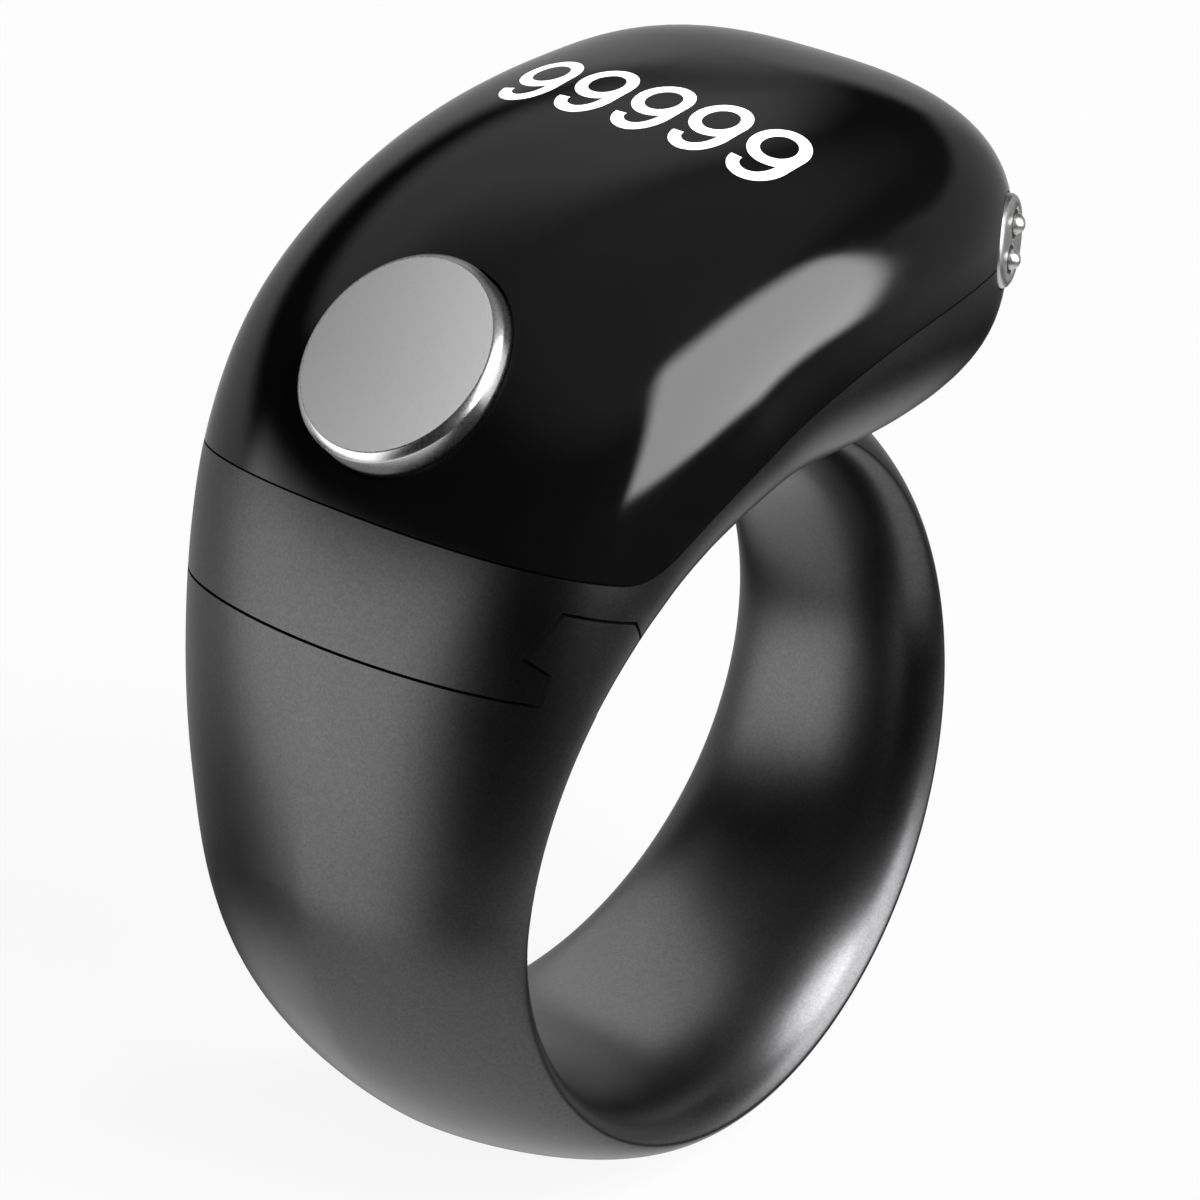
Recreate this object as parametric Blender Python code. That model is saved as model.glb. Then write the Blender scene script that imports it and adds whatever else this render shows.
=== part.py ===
"""Digital finger counter: a display head with a count button, on a band that slides off sideways.

The finger runs along Y through the origin, +Z points through the middle of the head, and +X points
to the overhanging nose. The near side, where the band's tongue shows, is -Y.
"""

import math

import bpy
import bmesh
from mathutils import Matrix, Vector

MM = 0.001

# The finger bore and the band round it. Left is -X, where the head rises out of the band.
BORE_RADIUS = 9.5 * MM
BAND_WALL_LEFT = 3.75 * MM
BAND_WALL_BOTTOM = 2.93 * MM
BAND_WALL_RIGHT = 2.45 * MM
BAND_WIDTH_LEFT = 13.0 * MM
BAND_WIDTH_BOTTOM = 11.35 * MM
BAND_WIDTH_RIGHT = 8.1 * MM
BAND_WAIST = 1.0 * MM
BAND_WAIST_TURN = math.radians(15)
BAND_OUTER_POWER = 1.63
BAND_INNER_POWER = 2.0
BAND_EDGE_LEFT = 1.2 * MM
BAND_EDGE_BOTTOM = 1.59 * MM
BAND_EDGE_RIGHT = 1.46 * MM

# The head: a rounded body that rises from the band's left side and hangs over on the right.
HEAD_RISE = 10.3 * MM
HEAD_OVERHANG = 3.7 * MM
NOSE_RISE = 2.6 * MM
CROWN_X = 5.9 * MM
HEAD_WIDTH = 17.3 * MM
SHOULDER_TUCK = 0.2 * MM
JOINT_TUCK = 0.9 * MM
SHOULDER_WIDTH = HEAD_WIDTH - SHOULDER_TUCK
JOINT_WIDTH = SHOULDER_WIDTH - JOINT_TUCK
SHOULDER_ANGLE = math.radians(120)
JOINT_ANGLE = math.radians(150)
CROWN_LEFT_POWER = 2.4
CROWN_RIGHT_POWER = 2.3
UNDERSIDE_POWER = 2.65
NOSE_PLAN_POWER = 2.2
HEAD_SECTION_POWER = 2.8
HEAD_INNER_POWER = 3.0
HEAD_EDGE_SHARE = 0.49

# Walls of the hollow head.
CAP_WALL = 1.3 * MM
SIDE_WALL = 1.2 * MM
FLOOR_WALL = 1.3 * MM
PART_LINE_GAP = 0.06 * MM
CLEARANCE = 0.1 * MM
FIT_CLEARANCE = 0.05 * MM
CUT_OVERLAP = 0.2 * MM
BORE_OVERCUT = 0.5 * MM
SKIN_START = math.radians(168)
SKIN_END = math.radians(2)
CAVITY_START = math.radians(147)
CAVITY_END = math.radians(24)

# The part line between cap and housing, seen from the near side.
SEAM_LOW_X = -7.3 * MM
SEAM_LOW_RISE = 0.45 * MM
SEAM_HIGH_X = 7.5 * MM
SEAM_HIGH_RISE = 5.15 * MM
SEAM_LEFT_SLOPE = 0.275
SEAM_CORNER = 1.2 * MM

# The hooked tongue that the band slides in by, as (along the band, above the bore) from its foot.
TONGUE_ANGLE = math.radians(146.6)
BAND_JOINT_SLOPE = 0.21
TONGUE_FOOT = 3.11 * MM
TONGUE_BARB = 3.96 * MM
TONGUE_NECK_RISE = 0.31 * MM
TONGUE_NECK_LENGTH = 0.95 * MM
TONGUE_BARB_LEAN = 0.15 * MM
TONGUE_OUTER_LENGTH = 2.6 * MM
TONGUE_INNER_LENGTH = 3.1 * MM
TONGUE_TIP_SLANT = 0.25 * MM
TONGUE_INNER = 1.76 * MM
TONGUE_ROOT_LENGTH = 2.98 * MM
TONGUE_HEEL = 1.08 * MM
TONGUE_STOP_WALL = 2.2 * MM
NOTCH_DROP = 1.3 * MM
NOTCH_LENGTH = 1.3 * MM
NOTCH_DEPTH = 1.2 * MM
NOTCH_RISE = 1.45 * MM
NOTCH_ROUNDING = 0.35 * MM

# The band's right end, which hooks into a foot under the head.
FOOT_ANGLE = math.radians(57)
FOOT_END_ANGLE = math.radians(86)
FOOT_SHELF_RISE = 0.15 * MM
FOOT_TONGUE_RISE = 1.3 * MM
FOOT_TONGUE_LENGTH = 0.85 * MM
FOOT_TONGUE_ROOT = 0.42 * MM
FOOT_TONGUE_WIDTH = 0.6 * MM
FOOT_TONGUE_FLARE = 0.1 * MM
FOOT_STOP_WALL = 1.3 * MM

# The count button, along its own axis, with zero on the crown.
BUTTON_ANGLE = math.radians(135.5)
BUTTON_TILT = math.radians(43.7)
BUTTON_RADIUS = 3.3 * MM
BUTTON_STAND = 0.5 * MM
BUTTON_CHAMFER = 0.22 * MM
BUTTON_SKIRT = 0.7 * MM
BUTTON_TRAVEL = 0.35 * MM
STEM_RADIUS = 1.1 * MM
GUIDE_WALL = 0.9 * MM
GUIDE_FLANGE = 0.7 * MM
SEAL_THICKNESS = 0.4 * MM
SEAL_WIDTH = 0.6 * MM
CLIP_THICKNESS = 0.3 * MM
CLIP_WIDTH = 0.6 * MM
STEM_TIP = 0.15 * MM
SWITCH_SIZE = 3.6 * MM
SWITCH_HEIGHT = 0.9 * MM
PLUNGER_RADIUS = 0.7 * MM
PLUNGER_SEAT = 0.25 * MM
BUTTON_BOARD_LENGTH = 4.0 * MM
BUTTON_BOARD_WIDTH = 5.2 * MM
BUTTON_BOARD_THICKNESS = 0.5 * MM
SEAT_LENGTH = 2.2 * MM
SEAT_WIDTH = 3.0 * MM
SEAT_HEIGHT = 1.7 * MM

# The stack inside the head: motor and battery on the floor, then the main board, then the display.
BOARD_RISE = 5.3 * MM
BOARD_THICKNESS = 0.8 * MM
BOARD_LEFT = -2.9 * MM
BOARD_RIGHT = 9.9 * MM
BOARD_SIDE_ROOM = 1.85 * MM
BOARD_TAPER = 1.8 * MM
BOARD_TAPER_X = 4.5 * MM
POST_RADIUS = 0.6 * MM
POST_LEFT_X = -2.0 * MM
POST_RIGHT_X = 3.7 * MM
POST_EDGE = 0.7 * MM
DISPLAY_X = 1.6 * MM
DISPLAY_SIDE_ROOM = 1.85 * MM
DISPLAY_WIDTH = 5.0 * MM
DISPLAY_THICKNESS = 1.1 * MM
FRAME_WALL = 0.35 * MM
FRAME_HEIGHT = 0.9 * MM
FLEX_THICKNESS = 0.12 * MM
DISPLAY_FLEX_WIDTH = 6.0 * MM
DISPLAY_FLEX_BOW = 0.45 * MM
BUTTON_FLEX_WIDTH = 2.4 * MM
MOTOR_X = 1.1 * MM
MOTOR_RADIUS = 2.8 * MM
MOTOR_THICKNESS = 2.0 * MM
MOTOR_RISE = 1.75 * MM
PAD_THICKNESS = 0.25 * MM
BATTERY_LEFT = 4.8 * MM
BATTERY_LENGTH = 5.4 * MM
BATTERY_SIDE_ROOM = 3.35 * MM
BATTERY_THICKNESS = 2.6 * MM
LEAD_RADIUS = 0.22 * MM
LEAD_SPACING = 2.6 * MM
CHIP_SIZE = 3.4 * MM
CHIP_HEIGHT = 0.8 * MM
CRYSTAL_LENGTH = 2.0 * MM
CRYSTAL_WIDTH = 1.2 * MM
ANTENNA_LENGTH = 2.2 * MM
ANTENNA_WIDTH = 1.0 * MM
SMALL_CHIP_HEIGHT = 0.6 * MM

# The charging terminal on the nose's near corner.
TERMINAL_PLAN_ANGLE = math.radians(65)
TERMINAL_BACK = 3.8 * MM
TERMINAL_INSET = 1.25 * MM
TERMINAL_RISE = 5.5 * MM
TERMINAL_RADIUS = 1.4 * MM
TERMINAL_THICKNESS = 0.8 * MM
TERMINAL_RIM = 0.15 * MM
PIN_ROW_TURN = math.radians(63)
PIN_RADIUS = 0.32 * MM
PIN_SPACING = 1.05 * MM
PIN_STAND = 0.3 * MM
PIN_LENGTH = 1.5 * MM
PIN_GAP = 0.03 * MM
SLEEVE_WALL = 0.08 * MM
MAGNET_RADIUS = 1.1 * MM
MAGNET_THICKNESS = 0.7 * MM

# The seal in the part line.
SEAL_INSET = 0.4 * MM
SEAL_BEAD_WIDTH = 0.4 * MM
SEAL_BEAD_DEPTH = 0.35 * MM
SEAL_START = math.radians(161)
SEAL_END = math.radians(10)
SEAL_CORE_TURN = math.radians(7)

QUARTER_POINTS = 8
ROUND_SEGMENTS = 32
SMALL_SEGMENTS = 16
REACH = 30 * MM


def clear_scene():
    for item in list(bpy.data.objects):
        bpy.data.objects.remove(item, do_unlink=True)


def material(name, color, roughness, metallic=0.0):
    """A Principled material in plain linear colour."""
    made = bpy.data.materials.new(name)
    made.use_nodes = True
    shader = made.node_tree.nodes["Principled BSDF"]
    shader.inputs["Base Color"].default_value = (*color, 1.0)
    shader.inputs["Roughness"].default_value = roughness
    shader.inputs["Metallic"].default_value = metallic
    return made


def add_object(name, points, faces, made_of=None, parent=None):
    """An object from points and faces, with its faces turned outwards."""
    mesh = bpy.data.meshes.new(name)
    mesh.from_pydata([tuple(p) for p in points], [], faces)
    shape = bmesh.new()
    shape.from_mesh(mesh)
    bmesh.ops.recalc_face_normals(shape, faces=shape.faces)
    shape.to_mesh(mesh)
    shape.free()
    mesh.shade_smooth()
    mesh.set_sharp_from_angle(angle=math.radians(35))
    if made_of:
        mesh.materials.append(made_of)
    item = bpy.data.objects.new(name, mesh)
    bpy.context.scene.collection.objects.link(item)
    item.parent = parent
    return item


def as_cutter(item):
    item.hide_render = True
    item.display_type = "WIRE"
    return item


def combine(item, other, operation):
    modifier = item.modifiers.new(operation.title() + " " + other.name, "BOOLEAN")
    modifier.operation = operation
    modifier.solver = "EXACT"
    modifier.object = other


def loft(loops):
    """Points and faces of a skin through loops of equal length, with flat ends."""
    count = len(loops[0])
    points = [p for loop in loops for p in loop]
    faces = [list(range(count)), list(range(len(points) - count, len(points)))]
    for row in range(len(loops) - 1):
        for k in range(count):
            a = row * count + k
            b = row * count + (k + 1) % count
            faces.append([a, b, b + count, a + count])
    return points, faces


def prism(outline, y_low, y_high):
    """Points and faces of an (x, z) outline pushed along Y."""
    low = [Vector((x, y_low, z)) for x, z in outline]
    high = [Vector((x, y_high, z)) for x, z in outline]
    return loft([low, high])


def block(low, high):
    """Points and faces of a box between two corners."""
    outline = [(low[0], low[2]), (high[0], low[2]), (high[0], high[2]), (low[0], high[2])]
    return prism(outline, low[1], high[1])


def turned(profile, segments=ROUND_SEGMENTS):
    """Points and faces of a (radius, height) profile turned round Z. It ends on the axis or closes."""
    points = []
    rings = []
    for radius, height in profile:
        if radius == 0:
            rings.append([len(points)] * segments)
            points.append(Vector((0, 0, height)))
            continue
        rings.append([len(points) + k for k in range(segments)])
        for k in range(segments):
            turn = 2 * math.pi * k / segments
            points.append(Vector((radius * math.cos(turn), radius * math.sin(turn), height)))
    pairs = list(zip(rings, rings[1:]))
    if profile[0][0] > 0:
        pairs.append((rings[-1], rings[0]))
    faces = []
    for low, high in pairs:
        for k in range(segments):
            corners = [low[k], low[(k + 1) % segments], high[(k + 1) % segments], high[k]]
            faces.append(list(dict.fromkeys(corners)))
    return points, faces


def offset_outline(outline, distance):
    """An (x, z) outline with each side moved outwards by a distance."""
    points = [Vector(p) for p in outline]
    area = sum(a.x * b.y - b.x * a.y for a, b in zip(points, points[1:] + points[:1]))
    side = 1 if area > 0 else -1
    moved = []
    for k, here in enumerate(points):
        before = (here - points[k - 1]).normalized()
        after = (points[(k + 1) % len(points)] - here).normalized()
        out_before = Vector((before.y, -before.x)) * side
        out_after = Vector((after.y, -after.x)) * side
        corner = (out_before + out_after) / (1 + out_before.dot(out_after))
        moved.append(here + corner * distance)
    return [tuple(p) for p in moved]


def power_curve(value, power):
    return abs(value) ** (2 / power)


def section_loop(inner, outer, half_width, edge_share, outer_power, inner_power):
    """A rounded section between an inner and an outer (x, z) point, as wide as twice half_width."""
    height = (outer - inner).length
    up = (outer - inner).normalized()
    edge = edge_share * height
    arc = [math.pi / 2 * k / (QUARTER_POINTS - 1) for k in range(QUARTER_POINTS)]
    crown_side = []
    bore_side = []
    for turn in arc:
        across = half_width * power_curve(math.cos(turn), outer_power)
        crown_side.append((across, edge + (height - edge) * power_curve(math.sin(turn), outer_power)))
        across = half_width * power_curve(math.cos(turn), inner_power)
        bore_side.append((across, edge - edge * power_curve(math.sin(turn), inner_power)))
    pairs = crown_side[:-1] + [(0.0, height)]
    pairs += [(-y, u) for y, u in crown_side[-2::-1]]
    pairs += [(-y, u) for y, u in bore_side[1:-1]]
    pairs += [(0.0, 0.0)]
    pairs += [(y, u) for y, u in bore_side[-2:0:-1]]
    return [Vector((inner.x + up.x * u, y, inner.y + up.y * u)) for y, u in pairs]


def round_finger(angle, left, bottom, right):
    """A size that changes smoothly round the finger, from its values at the left, bottom and right."""
    middle = (left + right) / 2
    return middle + (right - left) / 2 * math.cos(angle) + (middle - bottom) * math.sin(angle)


def band_half_width(angle):
    """Half the band's width. A waist that starts under the left side carries on the head's narrowing."""
    down = (angle - math.pi) % (2 * math.pi)
    waist = BAND_WAIST * (1 - math.exp(-down / BAND_WAIST_TURN)) * max(math.cos(down / 2), 0.0) ** 2
    return (round_finger(angle, BAND_WIDTH_LEFT, BAND_WIDTH_BOTTOM, BAND_WIDTH_RIGHT) - waist) / 2


def band_wall(angle):
    return round_finger(angle, BAND_WALL_LEFT, BAND_WALL_BOTTOM, BAND_WALL_RIGHT)


def band_edge_share(angle):
    """How far up the wall the band is widest, as a share of the wall."""
    return round_finger(angle, BAND_EDGE_LEFT, BAND_EDGE_BOTTOM, BAND_EDGE_RIGHT) / band_wall(angle)


def band_loop(angle):
    """The band's section at an angle round the finger, counted from +X towards +Z."""
    ray = Vector((math.cos(angle), math.sin(angle)))
    inner = ray * BORE_RADIUS
    outer = ray * (BORE_RADIUS + band_wall(angle))
    half = band_half_width(angle)
    return section_loop(inner, outer, half, band_edge_share(angle), BAND_OUTER_POWER, BAND_INNER_POWER)


def smooth(value):
    value = min(max(value, 0.0), 1.0)
    return value * value * (3 - 2 * value)


def mix(a, b, share):
    return a + (b - a) * share


# Where the outside of the head lies, and what fits between its walls.
HEAD_TOP = BORE_RADIUS + HEAD_RISE
NOSE_X = BORE_RADIUS + HEAD_OVERHANG
NOSE_Z = BORE_RADIUS + NOSE_RISE
LEFT_X = -(BORE_RADIUS + BAND_WALL_LEFT)
HALF_INSIDE = HEAD_WIDTH / 2 - SIDE_WALL
HALF_BOARD = HALF_INSIDE - BOARD_SIDE_ROOM
HALF_DISPLAY = HALF_INSIDE - DISPLAY_SIDE_ROOM
HALF_BATTERY = HALF_INSIDE - BATTERY_SIDE_ROOM


def crown_point(angle):
    """The head's outer line in the middle plane, as (x, z). The angle starts at 180 degrees on the left."""
    if angle >= math.pi / 2:
        x = CROWN_X - (CROWN_X - LEFT_X) * power_curve(math.cos(angle), CROWN_LEFT_POWER)
        return Vector((x, HEAD_TOP * power_curve(math.sin(angle), CROWN_LEFT_POWER)))
    x = CROWN_X + (NOSE_X - CROWN_X) * power_curve(math.cos(angle), CROWN_RIGHT_POWER)
    return Vector((x, NOSE_Z + (HEAD_TOP - NOSE_Z) * power_curve(math.sin(angle), CROWN_RIGHT_POWER)))


def inner_point(angle):
    """The head's inner line in the middle plane: the bore, and then the underside out to the nose."""
    if angle >= math.pi / 2:
        share = (angle - math.pi / 2) / (math.pi / 2)
        round_bore = math.pi / 2 * (1 + share**2.6)
        return Vector((math.cos(round_bore), math.sin(round_bore))) * BORE_RADIUS
    x = NOSE_X * power_curve(math.cos(angle), UNDERSIDE_POWER)
    return Vector((x, NOSE_Z - NOSE_RISE * power_curve(math.sin(angle), UNDERSIDE_POWER)))


def head_half_width(angle):
    """Half the head's width: from the band to the joint, the shoulder and the crown, then round the nose."""
    if angle < math.pi / 2:
        share = (crown_point(angle).x - CROWN_X) / (NOSE_X - CROWN_X)
        return HEAD_WIDTH / 2 * max(1 - share**NOSE_PLAN_POWER, 0.0) ** (1 / NOSE_PLAN_POWER)
    if angle >= JOINT_ANGLE:
        share = (math.pi - angle) / (math.pi - JOINT_ANGLE)
        return mix(band_half_width(math.pi), JOINT_WIDTH / 2, share * (1.4 - 0.4 * share))
    if angle >= SHOULDER_ANGLE:
        share = (JOINT_ANGLE - angle) / (JOINT_ANGLE - SHOULDER_ANGLE)
        return mix(JOINT_WIDTH / 2, SHOULDER_WIDTH / 2, math.sin(share * math.pi / 2))
    share = (SHOULDER_ANGLE - angle) / (SHOULDER_ANGLE - math.pi / 2)
    return mix(SHOULDER_WIDTH / 2, HEAD_WIDTH / 2, smooth(share))


def head_loop(angle, crown_inset=0.0, side_inset=0.0, floor_inset=0.0):
    """The head's section at a station, set in from its outer surface by the three insets."""
    outer = crown_point(angle)
    inner = inner_point(angle)
    up = (outer - inner).normalized()
    share = smooth((math.pi - angle) / math.radians(50))
    return section_loop(
        inner + up * floor_inset,
        outer - up * crown_inset,
        head_half_width(angle) - side_inset,
        mix(band_edge_share(math.pi), HEAD_EDGE_SHARE, share),
        mix(BAND_OUTER_POWER, HEAD_SECTION_POWER, share),
        mix(BAND_INNER_POWER, HEAD_INNER_POWER, share),
    )


def head_stations(start, end, left_steps, right_steps):
    """Angles from the left, closer together towards the nose, where the shape turns fast."""
    left = [mix(start, math.pi / 2, k / left_steps) for k in range(left_steps)]
    right = [mix(math.pi / 2, end, math.sin(math.pi / 2 * k / right_steps)) for k in range(right_steps + 1)]
    return left + right


def local_point(angle, along, above):
    """An (x, z) point above the bore at an angle, moved along the tangent towards the head's top."""
    ray = Vector((math.cos(angle), math.sin(angle)))
    towards_top = 1 if angle < math.pi / 2 else -1
    tangent = Vector((-ray.y, ray.x)) * towards_top
    return tuple(ray * (BORE_RADIUS + above) + tangent * along)


def button_matrix():
    """The button's frame: origin on the crown, local Z outwards, local Y along the finger."""
    place = crown_point(BUTTON_ANGLE)
    turn = Matrix.Rotation(-BUTTON_TILT, 4, "Y")
    return Matrix.Translation((place.x, 0, place.y)) @ turn


def terminal_matrix():
    """Terminal frame: origin in the disc's face, local Z outwards, local X along the side of the nose."""
    place = Vector((NOSE_X - TERMINAL_BACK, TERMINAL_INSET - HEAD_WIDTH / 2, BORE_RADIUS + TERMINAL_RISE))
    out = Vector((math.cos(TERMINAL_PLAN_ANGLE), -math.sin(TERMINAL_PLAN_ANGLE), 0))
    along = Vector((-out.y, out.x, 0))
    turn = Matrix((along, out.cross(along), out)).transposed().to_4x4()
    return Matrix.Translation(place) @ turn


def empty_at(name, matrix):
    item = bpy.data.objects.new(name, None)
    item.matrix_world = matrix
    bpy.context.scene.collection.objects.link(item)
    return item


def seam_height(x):
    """The part line right of its lowest point: it climbs to the nose and then stays level."""
    if x >= SEAM_HIGH_X:
        return BORE_RADIUS + SEAM_HIGH_RISE
    share = (SEAM_HIGH_X - x) / (SEAM_HIGH_X - SEAM_LOW_X)
    return BORE_RADIUS + mix(SEAM_HIGH_RISE, SEAM_LOW_RISE, share**2)


def seam_line(shift):
    """The part line from left to right as (x, z) points, moved up by a shift, with a rounded low corner."""
    low = Vector((SEAM_LOW_X, BORE_RADIUS + SEAM_LOW_RISE))
    start = low + Vector((-1, SEAM_LEFT_SLOPE)).normalized() * SEAM_CORNER
    end_x = SEAM_LOW_X + SEAM_CORNER
    end = Vector((end_x, seam_height(end_x)))
    line = [Vector((-REACH, low.y + (low.x + REACH) * SEAM_LEFT_SLOPE))]
    for k in range(7):
        share = k / 6
        line.append(start.lerp(low, share).lerp(low.lerp(end, share), share))
    steps = 14
    for k in range(1, steps + 1):
        x = mix(end_x, SEAM_HIGH_X, k / steps)
        line.append(Vector((x, seam_height(x))))
    line.append(Vector((REACH, BORE_RADIUS + SEAM_HIGH_RISE)))
    return [(p.x, p.y + shift) for p in line]


def band_outlines(gap):
    """The band's room as (x, z) outlines grown by a gap: the arc, its tongue, and its foot tongue."""
    shelf = BORE_RADIUS + FOOT_SHELF_RISE
    shelf_above = shelf / math.sin(FOOT_ANGLE) - BORE_RADIUS
    foot = local_point(TONGUE_ANGLE, 0, TONGUE_FOOT)
    inner_root = local_point(TONGUE_ANGLE, TONGUE_ROOT_LENGTH, TONGUE_INNER)
    base = [
        (-REACH, -REACH),
        (-REACH, foot[1] + (foot[0] + REACH) * BAND_JOINT_SLOPE),
        foot,
        inner_root,
        local_point(TONGUE_ANGLE, TONGUE_ROOT_LENGTH - TONGUE_HEEL, -BORE_OVERCUT),
        local_point(FOOT_ANGLE, 0, -BORE_OVERCUT),
        local_point(FOOT_ANGLE, 0, shelf_above),
        (REACH, shelf),
        (REACH, -REACH),
    ]
    tongue = [
        local_point(TONGUE_ANGLE, CUT_OVERLAP, TONGUE_INNER),
        foot,
        local_point(TONGUE_ANGLE, TONGUE_NECK_LENGTH, TONGUE_FOOT + TONGUE_NECK_RISE),
        local_point(TONGUE_ANGLE, TONGUE_NECK_LENGTH + TONGUE_BARB_LEAN, TONGUE_BARB),
        local_point(TONGUE_ANGLE, TONGUE_OUTER_LENGTH, TONGUE_BARB),
        local_point(TONGUE_ANGLE, TONGUE_INNER_LENGTH, TONGUE_INNER + TONGUE_TIP_SLANT),
        inner_root,
    ]
    half_root = FOOT_TONGUE_WIDTH / 2
    half_end = half_root + FOOT_TONGUE_FLARE
    foot_tongue = [
        local_point(FOOT_ANGLE, -FOOT_TONGUE_ROOT, FOOT_TONGUE_RISE - half_root),
        local_point(FOOT_ANGLE, FOOT_TONGUE_LENGTH, FOOT_TONGUE_RISE - half_end),
        local_point(FOOT_ANGLE, FOOT_TONGUE_LENGTH, FOOT_TONGUE_RISE + half_end),
        local_point(FOOT_ANGLE, -FOOT_TONGUE_ROOT, FOOT_TONGUE_RISE + half_root),
    ]
    return [offset_outline(outline, gap) for outline in (base, tongue, foot_tongue)]


def band_region(name, gap):
    """A cutter that holds all of the band's room, with the tongues stopped short of the far side."""
    base, tongue, foot_tongue = band_outlines(gap)
    region = as_cutter(add_object(name, *prism(base, -REACH, REACH)))
    stop = JOINT_WIDTH / 2 - TONGUE_STOP_WALL + gap
    left = as_cutter(add_object(name + "_tongue", *prism(tongue, -REACH, stop)))
    foot_stop = band_half_width(FOOT_ANGLE) - FOOT_STOP_WALL + gap
    right = as_cutter(add_object(name + "_foot_tongue", *prism(foot_tongue, -REACH, foot_stop)))
    combine(region, left, "UNION")
    combine(region, right, "UNION")
    return region


def thumb_notch():
    """A shallow notch in the near edge of the bore, just below the tongue, to push the band by."""
    radius = BORE_RADIUS + NOTCH_RISE
    start = TONGUE_ANGLE - (TONGUE_ROOT_LENGTH - NOTCH_DROP) / radius
    end = start + NOTCH_LENGTH / radius
    turn = NOTCH_ROUNDING / BORE_RADIUS
    outline = [
        local_point(start, 0, -BORE_OVERCUT),
        local_point(start, 0, NOTCH_RISE - NOTCH_ROUNDING),
        local_point(start + 0.3 * turn, 0, NOTCH_RISE - 0.3 * NOTCH_ROUNDING),
        local_point(start + turn, 0, NOTCH_RISE),
        local_point(end, 0, NOTCH_RISE),
        local_point(end, 0, -BORE_OVERCUT),
    ]
    return prism(outline, -REACH, NOTCH_DEPTH - JOINT_WIDTH / 2)


def make_band(colour):
    """The band: one moulded arc with its hooked tongue on the left and a small tongue on the right."""
    right_end = FOOT_ANGLE + (FOOT_TONGUE_LENGTH + 2 * CUT_OVERLAP) / BORE_RADIUS
    left_end = TONGUE_ANGLE + CUT_OVERLAP / BORE_RADIUS
    band_steps = 40
    head_steps = 9
    loops = [band_loop(mix(right_end, -math.pi, k / band_steps)) for k in range(band_steps + 1)]
    loops += [head_loop(mix(math.pi, left_end, k / head_steps)) for k in range(1, head_steps + 1)]
    band = add_object("band", *loft(loops), colour)
    combine(band, band_region("cut_band_room", 0.0), "INTERSECT")
    combine(band, as_cutter(add_object("cut_thumb_notch", *thumb_notch())), "DIFFERENCE")
    return band


def head_skin(name, insets=(0, 0, 0), start=SKIN_START, end=SKIN_END, steps=(20, 18), colour=None):
    """The head's skin, or one set in from it by the three insets, between two angles."""
    loops = [head_loop(angle, *insets) for angle in head_stations(start, end, *steps)]
    return add_object(name, *loft(loops), colour)


def cavity(name):
    """The hollow inside the head, which stops short of the tongue's slot and of the nose."""
    return as_cutter(head_skin(name, (CAP_WALL, SIDE_WALL, FLOOR_WALL), CAVITY_START, CAVITY_END, (12, 8)))


def along_button(name, profile, axis, colour=None, segments=ROUND_SEGMENTS):
    return add_object(name, *turned(profile, segments), colour, axis)


def cylinder_profile(radius, low, high):
    return [(0, low), (radius, low), (radius, high), (0, high)]


def ring_profile(inner, outer, low, high):
    return [(inner, low), (outer, low), (outer, high), (inner, high)]


# Depths along the button's axis, each worked out from the one above it.
RECESS_FLOOR = -(BUTTON_SKIRT + BUTTON_TRAVEL + CLEARANCE)
GUIDE_END = RECESS_FLOOR - GUIDE_WALL
SEAL_TOP = GUIDE_END - FIT_CLEARANCE
CLIP_TOP = SEAL_TOP - SEAL_THICKNESS - FIT_CLEARANCE
STEM_END = CLIP_TOP - CLIP_THICKNESS - STEM_TIP
PLUNGER_TOP = STEM_END - FIT_CLEARANCE
SWITCH_TOP = PLUNGER_TOP - BUTTON_TRAVEL - CLEARANCE
SWITCH_BOTTOM = SWITCH_TOP - SWITCH_HEIGHT
BUTTON_BOARD_TOP = SWITCH_BOTTOM - FIT_CLEARANCE
BUTTON_BOARD_BOTTOM = BUTTON_BOARD_TOP - BUTTON_BOARD_THICKNESS


def make_cap(colour, button_axis, terminal):
    """The glossy cap over display and button, with a guide for the button's stem inside."""
    cap = head_skin("top_cap", colour=colour)
    line = seam_line(PART_LINE_GAP / 2)
    outline = line + [(REACH, REACH), (-REACH, REACH)]
    above = as_cutter(add_object("cut_above_seam", *prism(outline, -REACH, REACH)))
    combine(cap, above, "INTERSECT")
    hollow = cavity("cut_cap_hollow")
    guide_radius = BUTTON_RADIUS + CLEARANCE + GUIDE_FLANGE
    guide_profile = cylinder_profile(guide_radius, GUIDE_END, REACH / 4)
    guide = along_button("cut_button_guide", guide_profile, button_axis)
    combine(hollow, as_cutter(guide), "DIFFERENCE")
    combine(cap, hollow, "DIFFERENCE")
    recess = along_button(
        "cut_button_recess",
        [
            (0, GUIDE_END - CLEARANCE),
            (STEM_RADIUS + FIT_CLEARANCE, GUIDE_END - CLEARANCE),
            (STEM_RADIUS + FIT_CLEARANCE, RECESS_FLOOR),
            (BUTTON_RADIUS + CLEARANCE, RECESS_FLOOR),
            (BUTTON_RADIUS + CLEARANCE, REACH / 4),
            (0, REACH / 4),
        ],
        button_axis,
    )
    combine(cap, as_cutter(recess), "DIFFERENCE")
    combine(cap, terminal, "DIFFERENCE")
    return cap


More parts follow.
